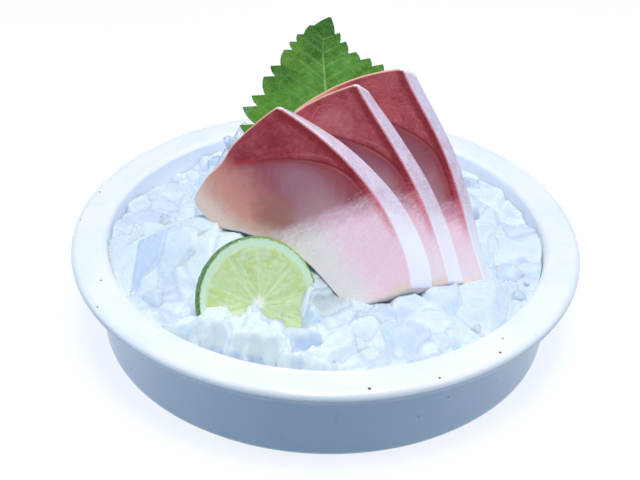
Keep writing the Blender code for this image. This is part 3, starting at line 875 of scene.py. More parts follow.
# %% Sizes of the lime
LIME_RADIUS = 24.9 * MM
LIME_OVAL = 0.955
LIME_THICKNESS = 5.0 * MM
LIME_CENTRE = np.array((-24.6, -56.5, 43.6)) * MM
LIME_TURN = math.radians(24)
LIME_COLUMNS = 420
LIME_RIND = 1.1 * MM              # rounding of the disc's edge
WEDGE_ENDS = np.radians((4, 38, 72, 112, 146, 186, 218, 255, 290, 326))
CORE_OFFSET = np.array((-0.6, -1.2)) * MM
CORE_RADIUS = 1.4 * MM
PULP_RADIUS = 21.4 * MM
WALL_HALF = 0.16 * MM             # half the thickness of a wall between two wedges


def smooth_least(values, softness):
    """The least of several arrays, with its corners rounded off."""
    total = sum(np.exp(-value / softness) for value in values)
    return -softness * np.log(total)


def inside_wedge(x, y):
    """How far a point lies inside its wedge of pulp, negative in walls, core and pith."""
    x, y = x - CORE_OFFSET[0], y - CORE_OFFSET[1]
    angle = np.arctan2(y, x) % (2 * math.pi)
    radius = np.hypot(x, y)
    lower = np.searchsorted(WEDGE_ENDS, angle) - 1
    start = WEDGE_ENDS[lower] - (lower < 0) * 2 * math.pi
    end = np.append(WEDGE_ENDS[1:], WEDGE_ENDS[0] + 2 * math.pi)[lower] - (lower < 0) * 2 * math.pi
    from_start = radius * np.sin(np.clip(angle - start, 0, math.pi / 2))
    from_end = radius * np.sin(np.clip(end - angle, 0, math.pi / 2))
    outer = PULP_RADIUS - np.hypot(x + CORE_OFFSET[0], y + CORE_OFFSET[1])
    limits = (from_start - WALL_HALF, from_end - WALL_HALF, outer, radius - CORE_RADIUS)
    return smooth_least(limits, 0.6 * MM)


# %% The surface of the lime
PULP_SWELL = 0.16 * MM            # the pulp stands this far above its walls
SAC_RELIEF = 0.08 * MM
PULP_SUNK = 0.12 * MM


def lime_mesh():
    """Rings from the middle of the front face over the rind to the middle of the back face."""
    angle = np.arange(LIME_COLUMNS) * 2 * math.pi / LIME_COLUMNS
    face = np.linspace(0.02, 1.0, 90) * (LIME_RADIUS - LIME_RIND)
    turn = np.linspace(0, math.pi / 2, 9)[1:]
    rim = LIME_RADIUS - LIME_RIND * (1 - np.sin(turn))
    drop = LIME_RIND * (1 - np.cos(turn))
    side = np.linspace(LIME_RIND, LIME_THICKNESS - LIME_RIND, 9)[1:-1]
    radius = np.concatenate((face, rim, side * 0 + LIME_RADIUS, rim[::-1], face[::-1]))[:, None]
    depth = (face * 0, drop, side, LIME_THICKNESS - drop[::-1], face * 0 + LIME_THICKNESS)
    depth = np.concatenate(depth)
    x, y = radius * np.cos(angle), radius * np.sin(angle)
    depth = depth[:, None] + 0 * x
    wedge = inside_wedge(x, y)
    swell = smooth_step(-0.3 * MM, 1.4 * MM, wedge) * PULP_SWELL
    sacs = soft_wave(np.arctan2(y, x) * 9 * MM, radius + 0 * x, 3.2 * MM, seed=5) * SAC_RELIEF
    relief = swell + sacs * smooth_step(0, 1 * MM, wedge) - PULP_SUNK
    on_face = radius < LIME_RADIUS - LIME_RIND * 1.2
    facing = np.where(depth < LIME_THICKNESS / 2, -1.0, 1.0)
    depth = depth + np.where(on_face, facing * relief, 0.0)
    pores = soft_wave(angle * LIME_RADIUS + 0 * x, depth, 2.4 * MM, seed=8) * 0.08 * MM
    grow = 1 + np.where(on_face, 0.0, pores / LIME_RADIUS)
    flat = np.stack((x * grow * LIME_OVAL, y * grow, -depth), -1)
    turned = Matrix.Rotation(LIME_TURN, 3, "Z") @ Matrix.Rotation(math.pi / 2 - LEAN, 3, "X")
    grid = flat @ np.array(turned).T + LIME_CENTRE
    mesh = wrapped_mesh("lime_body", grid)
    round_core = np.arctan2(y - CORE_OFFSET[1], x - CORE_OFFSET[0]) * 10 * MM
    add_field(mesh, "in_lime", close_grid(np.stack((np.hypot(x, y), round_core, wedge), -1)) / MM)
    return mesh


# %% [markdown]
# Pulp is yellow-green and wet, with paler streaks that run outwards from the core; its walls
# and the pith are pale green, and the rind is dark green with small round oil pores.

# %% Lime finish
PULP = seen(210, 228, 172)
PULP_DEEP = seen(200, 218, 140)
PULP_CLEAR = seen(206, 230, 194)
PULP_LIGHT = seen(222, 238, 200)
WALL = seen(216, 234, 194)
CORE_WHITE = seen(244, 246, 236)
PITH = seen(214, 238, 208)
RIND = seen(76, 120, 58)
RIND_LIGHT = seen(140, 174, 108)
RIND_YELLOW = seen(156, 186, 96)


def lime_material():
    """Pulp streaked outwards from the core, soft pale walls, pith, and a pored rind."""
    lime = Finish("lime", IOR=1.36, Coat_Weight=0.12, Coat_Roughness=0.2, Subsurface_Weight=0.3,
                  Subsurface_Radius=(0.7, 1.0, 0.35), Subsurface_Scale=0.002)
    radius, turn, wedge = lime.field("in_lime").parts()
    streaks = lime.vector(turn * 0.5, radius * 0.13, 0.0)
    sacs = lime.cells(1.0, streaks, "DISTANCE_TO_EDGE")
    tone = lime.cells(1.0, streaks, output=1).parts()[0]
    fine = lime.noise(1.0, lime.vector(turn * 2.2, radius * 0.2, 0.0), detail=3)
    rays = lime.noise(1.0, lime.vector(turn * 0.9, radius * 0.05, 0.0), detail=3)
    blotch = lime.noise(5 * MM, detail=3)
    lines = sacs.step(0.08, 0.0) * 0.2 + fine.step(0.52, 0.75) * 0.4 + rays.step(0.52, 0.62) * 0.5
    pulp = paint(
        (tone * 0.3 + blotch * 0.8 - 0.05).step(0.35, 0.65).blend(PULP_DEEP, PULP),
        (blotch.step(0.5, 0.34) * 0.8, PULP_CLEAR),
        (radius.step(6.5, 2.5) * 0.8, PULP_DEEP),
        (lines.at_most(1.0), PULP_LIGHT))
    outside = paint(
        pulp,
        ((radius + (blotch - 0.5) * 3.0).step(19.0, 21.6), PITH),
        (radius.step(19.5, 12.0) * 0.45, WALL),
        ((radius + (rays - 0.5) * 7.0).step(3.8, 1.6), CORE_WHITE))
    pores = lime.cells(0.9 * MM)
    flecks = lime.noise(1.4 * MM, detail=4, roughness=0.65)
    mottled = pores.step(0.5, 0.1) * 0.3 + flecks.step(0.46, 0.6) * 0.7
    rind = paint(mottled.blend(RIND, RIND_LIGHT), (turn.size().step(17, 9) * 0.8, RIND_YELLOW))
    in_pulp = (wedge + (fine - 0.5) * 0.9).step(-0.5, 1.1)
    at_rind = (radius + (fine - 0.5) * 0.5 + (flecks - 0.5) * 1.4).step(23.7, 24.3)
    lime.feed("Base Color", paint(outside, (in_pulp, pulp), (at_rind, rind)))
    lime.feed("Roughness", 0.45 - wedge.step(0.0, 0.6) * 0.15)
    sac_relief = sacs.step(0.0, 0.25) * wedge.step(0.0, 0.4)
    pits = pores.step(0.45, 0.05) * radius.step(24.0, 24.5)
    lime.relief((sac_relief, 0.07 * MM), (pits, -0.12 * MM))
    return lime.material


add_piece("cut_lime", lime_mesh(), lime_material(), "lime", "lime_slice")


# %% [markdown]
# ## The shiso leaf
#
# The leaf is ovate with saw teeth that point to the tip.  Its grid follows how it grows: each
# row leaves the midrib and runs out like a side vein to the margin, so that teeth and side
# veins meet without any drawing.  A row goes over the front of the blade from left to right
# and comes back over its back, so the thin blade is one closed skin.

# %% Sizes of the leaf
LEAF_LENGTH = 91 * MM
LEAF_THICKNESS = 0.5 * MM
LEAF_TIP = np.array((-21.9, 111.3)) * MM
LEAF_TILT = math.radians(7)
TIP_CURL, TIP_CURL_LENGTH = 5 * MM, 6 * MM
TOOTH_DEPTH, TOOTH_SHARE, TOOTH_REACH = 1 * MM, 0.15, 0.4 * MM
# the tips of the teeth: how far from the midrib, and how far below the leaf's tip
TEETH_LEFT = np.array(((7.2, 2.6), (11.2, 5.6), (14.0, 8.2), (16.0, 11.2), (21.7, 17.0), (24.8, 21.0),
                       (30.4, 28.0), (34.6, 32.2), (36.6, 39.5), (36.4, 47), (35.2, 54), (32.6, 61),
                       (28.6, 67.5), (22.6, 74), (14.4, 80))) * MM
TEETH_RIGHT = np.array(((6.4, 7.1), (9.2, 10.9), (13.2, 15.4), (18.8, 18.4), (24.0, 21.4), (28.4, 27.6),
                        (31.8, 33.8), (34.2, 40), (35.6, 46), (35.6, 52), (34.0, 58), (30.6, 64),
                        (25.4, 70), (18.6, 76), (10.6, 81))) * MM
VEIN_SLOPE = 0.62                 # how far a side vein starts below the tooth that it ends in
MARGIN_STEPS = 14                 # rows from a notch to a tooth
MARGIN_FULLNESS = 0.10


def leaf_margin(teeth):
    """Notch and tooth in turn, joined by slightly full edges: offset from the midrib, and drop."""
    notch = teeth * (1 - TOOTH_SHARE, 1) + (-TOOTH_DEPTH, TOOTH_REACH)
    corners = np.stack((notch, teeth), 1)
    corners = np.concatenate(([[0.0, 0.0]], corners.reshape(-1, 2), [[0.0, LEAF_LENGTH]]))
    t = np.arange(MARGIN_STEPS) / MARGIN_STEPS
    points = corners[:-1, None] + t[:, None] * np.diff(corners, axis=0)[:, None]
    towards_notch = np.arange(len(corners) - 1)[:, None] % 2 == 0
    length = np.linalg.norm(np.diff(corners, axis=0), axis=1)[:, None]
    points[..., 0] += np.where(towards_notch, MARGIN_FULLNESS * length * np.sin(math.pi * t), 0.0)
    return np.concatenate((points.reshape(-1, 2), corners[-1:]))


# %% The surface of the leaf
BLADE_COLUMNS = 46
LEAF_WAVE = 0.7 * MM
LEAF_PUCKER = 0.16 * MM
LEAF_STANDS = 0.65 * MM           # how far the blade stands off the back slice
RIB_HEIGHT, RIB_DEPTH = 0.35 * MM, 0.12 * MM      # ribs stand out behind and sink in before


def leaf_mesh():
    """Rows along the side veins, front and back, thinning to the margin."""
    left, right = leaf_margin(TEETH_LEFT)[1:-1], leaf_margin(TEETH_RIGHT)[1:-1]
    start = (left[:, 1] + right[:, 1]) / 2 + VEIN_SLOPE * (left[:, 0] + right[:, 0]) / 2
    start = np.minimum(np.maximum.accumulate(start), LEAF_LENGTH + 0.001 * np.arange(len(start)) * MM)
    out = np.linspace(0, 1, BLADE_COLUMNS) ** 0.9
    sides = []
    for side, margin in ((-1, left), (1, right)):
        aside = side * margin[:, :1] * out
        curve = out + 0.16 * out * (1 - out)
        drop = start[:, None] + (margin[:, 1:] - start[:, None]) * curve
        sides.append(np.stack((aside, drop, side * out + 0 * aside), -1))
    front = np.concatenate((sides[0][:, :0:-1], sides[1]), axis=1)
    blade = np.concatenate((front, front[:, -2:0:-1]), axis=1)
    is_back = np.concatenate((np.zeros(front.shape[1]), np.ones(front.shape[1] - 2)))
    aside, drop, out = blade[..., 0], blade[..., 1], np.abs(blade[..., 2])

    rows = np.arange(blade.shape[0])[:, None] + 0 * aside
    rows_apart = 2 * MARGIN_STEPS                      # from one tooth's tip to the next
    tooth_row = ((rows + 1) / rows_apart) % 1.0
    vein = np.minimum(tooth_row, 1 - tooth_row) * rows_apart
    vein = vein * np.gradient(drop, axis=0).clip(0.05 * MM)
    midrib = np.abs(aside)
    rib = np.exp(-(vein / (0.5 * MM)) ** 2) * (1 - out) ** 0.5 + np.exp(-(midrib / (0.7 * MM)) ** 2)
    pucker = soft_wave(aside, drop, 7 * MM, seed=31) * LEAF_PUCKER
    wave = soft_wave(aside, drop, 48 * MM, seed=33) * LEAF_WAVE * smooth_step(0, 20 * MM, midrib)
    trough = 0.025 * midrib * smooth_step(0, 12 * MM, drop)
    thick = LEAF_THICKNESS * (0.25 + 0.75 * smooth_step(0.0, 0.12, 1 - out)) + RIB_HEIGHT * rib
    depth = LEAF_STANDS + np.abs(wave) + pucker + trough
    depth = depth + is_back * thick + RIB_DEPTH * rib * (1 - is_back)

    middle = -TIP_CURL * (1 - np.exp(-drop / TIP_CURL_LENGTH))
    x, y = middle + aside, drop
    across = LEAF_TIP[0] + x * math.cos(LEAF_TILT) + y * math.sin(LEAF_TILT)
    up = LEAF_TIP[1] + x * math.sin(LEAF_TILT) - y * math.cos(LEAF_TILT)
    grid = stand_in_stack(across, len(SLICES) * PITCH + depth, up)
    mesh = wrapped_mesh("leaf_body", grid)
    add_field(mesh, "in_leaf", close_grid(np.stack((aside, drop, vein), -1)) / MM)
    add_field(mesh, "leaf_side", close_grid(np.stack((out, is_back + 0 * out, 0 * out), -1)))
    return mesh


# %% [markdown]
# The blade is mid green, yellower low on the left where it is thin against the light, with
# pale veins that grow finer as they branch.

# %% Leaf finish
LEAF_GREEN = seen(88, 148, 52)
LEAF_DARK = seen(52, 104, 26)
LEAF_BRIGHT = seen(124, 172, 66)
LEAF_YELLOW = seen(96, 148, 28)
VEIN_PALE = seen(156, 196, 128)
LEAF_BACK = seen(120, 158, 104)
TOOTH_BLUE = seen(128, 156, 146)


def leaf_material():
    """Green by broad noise, place and net of veins; paler veins, bluish tips of some teeth."""
    leaf = Finish("shiso", IOR=1.4, Specular_IOR_Level=0.25, Subsurface_Weight=0.12,
                  Subsurface_Radius=(0.5, 1.0, 0.2), Subsurface_Scale=0.001)
    aside, drop, vein = leaf.field("in_leaf").parts()
    out, back = leaf.field("leaf_side").parts()[:2]
    broad = leaf.noise(11 * MM, detail=3)
    fine = leaf.noise(1.2 * MM, detail=4)
    net = leaf.cells(4.2 * MM, feature="DISTANCE_TO_EDGE")
    net_fine = leaf.cells(1.7 * MM, feature="DISTANCE_TO_EDGE")
    light = (broad * 0.8 + fine * 0.35 + drop * 0.008 - 0.14).step(0.32, 0.72)
    shoulder = (aside + 12.0).size().step(9, 2) * (drop - 13.0).size().step(10, 3)
    lines = net.step(0.09, 0.01) * 0.13 + net_fine.step(0.08, 0.01) * 0.08
    side_vein = vein.step(0.7, 0.1) * (0.9 - out * 0.8) * 0.38
    midrib = aside.size().step(0.55, 0.15) * drop.step(4, 22)
    tips = (out + (fine - 0.5) * 0.2).step(0.9, 0.99) * broad.step(0.5, 0.62)
    leaf.feed("Base Color", paint(
        light.blend(LEAF_DARK, LEAF_GREEN),
        ((drop + aside * 0.4).step(19, 3) * 0.8, LEAF_DARK),
        (shoulder * (broad * 0.8 + 0.1), LEAF_BRIGHT),
        ((drop - aside * 0.9).step(40, 66) * 0.7, LEAF_YELLOW),
        (lines.at_least(side_vein).at_least(midrib * 0.7), VEIN_PALE),
        (tips * 0.7, TOOTH_BLUE),
        (back * 0.55, LEAF_BACK)))
    leaf.feed("Roughness", fine * 0.15 + 0.45)
    leaf.relief((net.step(0.0, 0.3), 0.10 * MM), (net_fine.step(0.0, 0.25), 0.05 * MM))
    return leaf.material


add_piece("shiso_blade", leaf_mesh(), leaf_material(), "leaf", "shiso_leaf")


# %% [markdown]
# ## The crushed ice
#
# The frame holds the ice as one solid.  Here it becomes what it is: wet lumps frozen together,
# with loose lumps and clear shards on top.  The bed under them is one surface over the bowl.
# Its broad form repeats the frame's: a nearly level bed and three mounds, cut off behind the
# stack.
# Two smaller mounds fill the room under the front slice and beside the lime.

# %% The broad form of the ice
ICE_LEVEL = 33.6 * MM
ICE_SLOPE = 0.032
# each mound: its middle, its half-size, its height and how steep it is
HEAP = ((3 * MM, 13 * MM), (59 * MM, 50 * MM), 43 * MM, 0.8)
SHOULDER = ((-29 * MM, 44 * MM), (23 * MM, 22 * MM), 25 * MM, 1.0)
FRONT_MOUND = ((-29 * MM, -82 * MM), (48 * MM, 28 * MM), 8.0 * MM, 1.2)
BELLY_MOUND = ((-32 * MM, -22 * MM), (50 * MM, 27 * MM), 19 * MM, 1.1)
SIDE_MOUND = ((-4 * MM, -43 * MM), (9 * MM, 9 * MM), 5 * MM, 1.0)
STACK_DEPTH = 25.6 * MM           # three slices and the leaf, with a little room


def mound_height(x, y, mound):
    """A dome over an ellipse: one minus the squared distance, to the power of its steepness."""
    centre, half_size, height, steepness = mound
    away = ((x - centre[0]) / half_size[0]) ** 2 + ((y - centre[1]) / half_size[1]) ** 2
    return height * np.clip(1.0 - away, 0.0, None) ** steepness


def bed_height(x, y):
    """The sloping bed and its mounds, kept below the leaning back of the stack."""
    depth = STACK_DEPTH + sag(x - STACK_FOOT[0])
    behind = STACK_FOOT[2] + (y - STACK_FOOT[1] - depth / math.cos(LEAN)) / math.tan(LEAN)
    rise = sum(mound_height(x, y, mound) for mound in (FRONT_MOUND, BELLY_MOUND, SIDE_MOUND))
    bed = ICE_LEVEL - ICE_SLOPE * y + rise
    raised = bed + np.maximum(mound_height(x, y, HEAP), mound_height(x, y, SHOULDER))
    return np.minimum(raised, np.maximum(behind, bed))


# %% [markdown]
# Seen from above, packed lumps are a patchwork of flat, tilted facets.  Every lump is the least
# of a few planes: one nearly level, the others falling away round it.  The bed is the highest
# lump at each place.  Only lumps in the cells near a place can reach it, so the whole surface is
# worked out with a short loop over neighbouring cells.  A few lumps are listed one by one where
# they show most: before the lime and under the heel of the slices.

# %% Lumps of packed ice
# for each size: the cell that holds one lump, how far a lump reaches, and how it is lifted
LUMP_SIZES = (
    {"cell": 15.0 * MM, "reach": (7.5 * MM, 12.0 * MM), "lift": (-2.4 * MM, 2.2 * MM), "seed": 41},
    {"cell": 9.0 * MM, "reach": (3.8 * MM, 6.4 * MM), "lift": (-2.6 * MM, 1.5 * MM), "seed": 42},
    {"cell": 5.2 * MM, "reach": (1.8 * MM, 3.0 * MM), "lift": (-4.0 * MM, -0.6 * MM), "seed": 43},
)
LUMP_SIDES = 6
LUMP_CELLS = 40                   # the tables of lumps are this many cells across
LUMP_TILT = 0.32                  # slope of the steepest top
MELT = 0.9 * MM                   # melting has rounded the edges by about this much
# lumps given one by one: middle, top and reach in mm, and tone: -1 grey painted shade beside the lime, 0
# blue, 1 milky
SET_LUMPS = ((-40.5, -72.5, 49.0, 3.6, 1.0), (-24.0, -75.5, 45.4, 3.6, 1.0), (-31.0, -80.0, 42.8, 5.0, 1.0),
             (-15.0, -81.0, 42.5, 6.0, 1.0), (-48.0, -71.0, 43.0, 6.5, 0.9), (-5.0, -74.0, 42.0, 5.5, 0.6),
             (3.0, -60.0, 43.0, 8.5, 0.1), (-40.0, -79.0, 43.0, 8.0, 1.0), (0.0, -49.5, 45.0, 6.5, -1.0),
             (9.0, -55.0, 40.5, 5.0, -0.7), (-57.0, -42.0, 42.0, 6.5, 0.7), (21.0, -53.0, 39.5, 6.5, -0.5),
             (34.0, -50.0, 42.0, 6.0, 0.5), (47.0, -43.0, 41.5, 6.5, 0.4), (60.0, -37.0, 40.5, 7.0, 0.6),
             (14.0, -66.0, 41.0, 5.5, 0.7), (28.0, -63.0, 40.5, 6.0, 0.3), (42.0, -58.0, 39.5, 7.0, 0.8),
             (-47.5, -23.0, 56.5, 6.5, 0.8), (-38.5, -30.0, 56.0, 5.0, 0.9), (-55.0, -27.0, 55.0, 5.5, 0.6),
             (-4.5, -43.0, 46.8, 4.5, -1.0))
# hollows in the front mound, through which the lime shows: as mounds, but they go down
HOLLOWS = (((-15 * MM, -63 * MM), (13 * MM, 9 * MM), 6.5 * MM, 0.8),
           ((-32 * MM, -67 * MM), (4.5 * MM, 12 * MM), 4.5 * MM, 0.8))


def lump_table(size):
    """Random middles, lifts and planes of the lumps of one size, one lump to a cell."""
    rng = np.random.default_rng(size["seed"])
    cells = (LUMP_CELLS, LUMP_CELLS)
    index = np.stack(np.meshgrid(np.arange(LUMP_CELLS), np.arange(LUMP_CELLS), indexing="ij"), -1)
    middle = (index - LUMP_CELLS / 2 + rng.uniform(0.1, 0.9, (*cells, 2))) * size["cell"]
    base = bed_height(middle[..., 0], middle[..., 1]) + rng.uniform(*size["lift"], cells)
    reach = rng.uniform(*size["reach"], cells)
    return (middle, base, *lump_planes(reach, rng))


def lump_planes(reach, rng):
    """Tilt of each lump's top, distance, direction and steepness of its sides, and its tone."""
    tilt = rng.uniform(-LUMP_TILT, LUMP_TILT, (*reach.shape, 2))
    sides = (*reach.shape, LUMP_SIDES)
    distance = reach[..., None] * rng.uniform(0.6, 1.15, sides)
    turn = rng.uniform(0, 2 * math.pi, reach.shape)[..., None]
    turn = turn + np.arange(LUMP_SIDES) * 2 * math.pi / LUMP_SIDES
    turn = turn + rng.uniform(-0.35, 0.35, sides)
    return tilt, distance, turn, rng.uniform(0.4, 2.2, sides), rng.uniform(size=reach.shape)


def lump_top(x, y, middle, base, tilt, distance, turn, steep):
    """The softened least of a lump's planes: its tilted top and the sides that fall away."""
    dx, dy = x - middle[..., 0], y - middle[..., 1]
    level = tilt[..., 0] * dx + tilt[..., 1] * dy
    across = np.cos(turn) * dx[..., None] + np.sin(turn) * dy[..., None]
    planes = np.concatenate((level[..., None], level[..., None] + (distance - across) * steep), -1)
    return base - MELT * np.log(np.exp(-np.maximum(planes, -40 * MM) / MELT).sum(-1))


def lumps_at(x, y):
    """Height of the highest lump at each place, its tone, and how far the next lies below it."""
    layers = []
    for size in LUMP_SIZES:
        table = lump_table(size)
        row = np.floor(x / size["cell"]).astype(int) + LUMP_CELLS // 2
        column = np.floor(y / size["cell"]).astype(int) + LUMP_CELLS // 2
        for i, j in ((i, j) for i in (-1, 0, 1) for j in (-1, 0, 1)):
            cell = (np.clip(row + i, 0, LUMP_CELLS - 1), np.clip(column + j, 0, LUMP_CELLS - 1))
            layers.append([values[cell] for values in table])
    rng = np.random.default_rng(45)
    for place_x, place_y, top, reach, set_tone in SET_LUMPS:
        planes = lump_planes(np.array(reach * MM), rng)[:-1]
        layers.append((np.array((place_x, place_y)) * MM, top * MM, *planes, set_tone))
    highest, second, tone = np.full(x.shape, -1.0), np.full(x.shape, -1.0), np.zeros(x.shape)
    for *lump, its_tone in layers:
        top = lump_top(x, y, *lump)
        tone = np.where(top > highest, its_tone, tone)
        second = np.maximum(second, np.minimum(top, highest))
        highest = np.maximum(highest, top)
    return highest, tone, highest - second


# %% The bed of ice
BED_COLUMNS = 640
BED_ROWS = 118
BED_GAP, WALL_GAP, EDGE_GAP = 0.9 * MM, 0.5 * MM, 0.12 * MM     # from the bowl, to keep clear
RIM_SHOWS, WALL_SLOPE = 1.2 * MM, 1.6     # the ice falls away to just below the rim
LOWEST, HIGHEST = -5.5 * MM, 6.0 * MM     # of the lumps, from the broad form
# waves that roughen the surface: length, height and seed
FROST_WAVE = (2.6 * MM, 0.08 * MM, 44)
CRUMBLE_WAVES = ((8 * MM, 1.3 * MM, 46), (3.6 * MM, 0.5 * MM, 47))


def packed_ice_mesh():
    """Rings out over the tops of the lumps, down the wall and back along the floor."""
    angle = np.arange(BED_COLUMNS) * 2 * math.pi / BED_COLUMNS
    radius = np.linspace(0.008, 1, BED_ROWS)[:, None] * (CAVITY_RADIUS - BED_GAP) + 0 * angle
    x, y = radius * np.cos(angle), radius * np.sin(angle)
    smooth = bed_height(x, y)
    top, tone, gap = lumps_at(x, y)
    top = np.clip(top, smooth + LOWEST, smooth + HIGHEST)
    top = np.minimum(top, rim_top - RIM_SHOWS + WALL_SLOPE * (CAVITY_RADIUS - radius))
    in_front = smooth_step(0.15, 0.7, mound_height(x, y, FRONT_MOUND) / FRONT_MOUND[2])
    coarse, fine, frost = (soft_wave(x, y, length, seed) * height
                           for length, height, seed in (*CRUMBLE_WAVES, FROST_WAVE))
    top = top + frost + (coarse + fine) * in_front
    top = top - sum(mound_height(x, y, hollow) for hollow in HOLLOWS)
    wall_there = np.interp(top[-1], (FLOOR_TOP + CAVITY_FILLET, rim_top), (floor_radius, CAVITY_RADIUS))
    x[-1], y[-1] = np.stack((np.cos(angle), np.sin(angle))) * (wall_there - EDGE_GAP)
    corner = (floor_radius - CAVITY_FILLET, FLOOR_TOP + CAVITY_FILLET)
    floor = arc(corner, CAVITY_FILLET - WALL_GAP, 0, -90, 8)
    below = np.concatenate((floor, line(floor[-1], (0.5 * MM, floor[-1, 1]), 6)))
    out, up = below[:, :1], below[:, 1:]
    wall = np.stack((np.cos(angle) * out, np.sin(angle) * out, up + 0 * angle), -1)
    grid = np.concatenate((np.stack((x, y, top), -1), wall))
    # the front mound's tone is raised so that it is painted whiter: painted light over its shaded facets
    tone = tone + 2.0 * in_front
    look = np.stack((tone, gap / MM, (top - smooth) / MM), -1)
    look = np.concatenate((look, np.repeat(look[-1:], len(below), axis=0)))
    print("lumps above the broad form, mm:", np.percentile((top - smooth) / MM, (5, 50, 95)).round(1))
    mesh = wrapped_mesh("ice_core", grid)
    add_field(mesh, "in_ice", close_grid(look))
    return mesh


# %% [markdown]
# A loose lump is a block with flat sides and melted edges.  In a direction d from its middle a
# box with rounded edges reaches to 1 / (|x|^p + |y|^p + |z|^p)^(1/p); a few more random planes
# break its corners off, and a taper makes its sides uneven.  One formula, worked out for all
# lumps at once, gives hundreds of different ones.

# %% Loose lumps
BOX_POWER = 7.0                   # higher is sharper
EDGE_STEP = math.radians(11)      # columns lie this close to the box's upright edges
LUMP_ROWS, LUMP_COLUMNS = 6, 12
CUT_PLANES = 4


def direction_grid():
    """Directions all round a ball, with the two poles last, crowded along a box's edges."""
    quarter = np.array((-1.0, 0.0, 1.0)) * EDGE_STEP + math.pi / 4
    angle = (quarter + np.arange(4)[:, None] * math.pi / 2).ravel()
    corner = 0.5 * math.pi - math.atan(math.sqrt(0.5))
    polar = np.array((0.42, corner - 0.16, corner + 0.2))
    polar = np.concatenate((polar, math.pi - polar[::-1]))
    ring = np.stack((np.sin(polar)[:, None] * np.cos(angle), np.sin(polar)[:, None] * np.sin(angle),
                     np.cos(polar)[:, None] + 0 * angle), -1).reshape(-1, 3)
    return np.concatenate((ring, ((0, 0, 1), (0, 0, -1))))


def random_turns(count, rng):
    """Random rotation matrices, from random unit quaternions."""
    q = rng.normal(size=(count, 4))
    w, x, y, z = (q / np.linalg.norm(q, axis=1)[:, None]).T
    rows = ((1 - 2 * (y * y + z * z), 2 * (x * y - w * z), 2 * (x * z + w * y)),
            (2 * (x * y + w * z), 1 - 2 * (x * x + z * z), 2 * (y * z - w * x)),
            (2 * (x * z - w * y), 2 * (y * z + w * x), 1 - 2 * (x * x + y * y)))
    return np.array(rows).transpose(2, 0, 1)


def chunks_mesh(name, centres, radii, seed, long=1.0):
    """Rounded boxes cut by random planes, tapered, stretched, turned and set at their centres."""
    rng = np.random.default_rng(seed)
    count = len(centres)
    ways = direction_grid()
    box = (np.abs(ways) ** BOX_POWER).sum(1) ** (-1 / BOX_POWER)
    normals = rng.normal(size=(count, CUT_PLANES, 3))
    normals /= np.linalg.norm(normals, axis=2)[..., None]
    offsets = rng.uniform(0.75, 1.15, (count, CUT_PLANES))
    cut = (offsets[:, None] / np.maximum(np.einsum("mk,cpk->cmp", ways, normals), 0.1)).min(2)
    reach = (box ** -BOX_POWER + cut ** -BOX_POWER) ** (-1 / BOX_POWER)
    points = ways * reach[..., None]
    taper = 1 + np.einsum("cmk,ck->cm", points, rng.uniform(-0.3, 0.3, (count, 3)))
    stretch = np.stack((rng.uniform(0.8, 1.1, count) * long, rng.uniform(0.6, 0.9, count) / long ** 0.5,
                        rng.uniform(0.45, 0.75, count) / long ** 0.5), 1)
    points = points * taper[..., None] * stretch[:, None] * radii[:, None, None]
    points = np.einsum("cij,cmj->cmi", random_turns(count, rng), points) + centres[:, None]
    starts = (np.arange(count) * len(ways))[:, None, None]
    faces = [(f + starts).reshape(-1, f.shape[1]) for f in grid_faces(LUMP_ROWS, LUMP_COLUMNS)]
    return make_mesh(name, points.reshape(-1, 3), faces)


# %% [markdown]
# The loose lumps are scattered on a jittered grid.  Each one sinks partly into the bed, is
# shrunk where the food or the bowl leaves less room, and is left out where there is hardly any.

# %% Scattering
SCATTER_REACH = CAVITY_RADIUS - 1 * MM
FOOD_ROOM, BOWL_ROOM = 0.85, 0.8  # the room that a lump needs there, for a radius of 1
LEAST_LUMP = 0.6                  # shrunk to less than this share of the smallest, it is left out


def mesh_tree(nodes):
    """One search tree over several nodes of the frame."""
    points, faces = [], []
    for name in nodes:
        mesh = frame["nodes"][name].data
        start = len(points)
        points += [vertex.co for vertex in mesh.vertices]
        faces += [[start + i for i in face.vertices] for face in mesh.polygons]
    return BVHTree.FromPolygons(points, faces)


food_tree = mesh_tree(["slice_front", "slice_middle", "slice_back", "lime_slice", "shiso_leaf"])
bowl_tree = mesh_tree(["bowl"])


def room_at(points, tree):
    """Distance to the nearest surface, negative inside it."""
    room = []
    for point in points:
        spot, normal, _, distance = tree.find_nearest(Vector(point))
        room.append(math.copysign(distance, normal.dot(Vector(point) - spot)))
    return np.array(room)


def scatter(spacing, smallest, largest, sink, seed, share):
    """Places and radii of lumps on a jittered grid over the bed."""
    rng = np.random.default_rng(seed)
    steps = np.arange(-SCATTER_REACH, SCATTER_REACH, spacing)
    x, y = [grid.ravel() + rng.uniform(-0.5, 0.5, grid.size) * spacing
            for grid in np.meshgrid(steps, steps)]
    radius = rng.uniform(smallest, largest, x.size)
    keep = (np.hypot(x, y) < SCATTER_REACH - 0.6 * radius) & (rng.uniform(size=x.size) < share)
    x, y, radius = x[keep], y[keep], radius[keep]
    z = bed_height(x, y) - sink * radius
    centres = np.stack((x, y, z), 1)
    room = np.minimum(room_at(centres, food_tree) / FOOD_ROOM, room_at(centres, bowl_tree) / BOWL_ROOM)
    radius = np.minimum(radius, room)
    keep = radius > LEAST_LUMP * smallest
    return centres[keep], radius[keep]


big = scatter(17 * MM, 6.0 * MM, 9.0 * MM, 0.55, seed=51, share=0.4)
middling = scatter(15 * MM, 3.2 * MM, 5.0 * MM, 0.25, seed=52, share=0.3)
small = scatter(17 * MM, 1.2 * MM, 2.2 * MM, -0.3, seed=53, share=0.25)
print("lumps:", len(big[0]), len(middling[0]), len(small[0]))
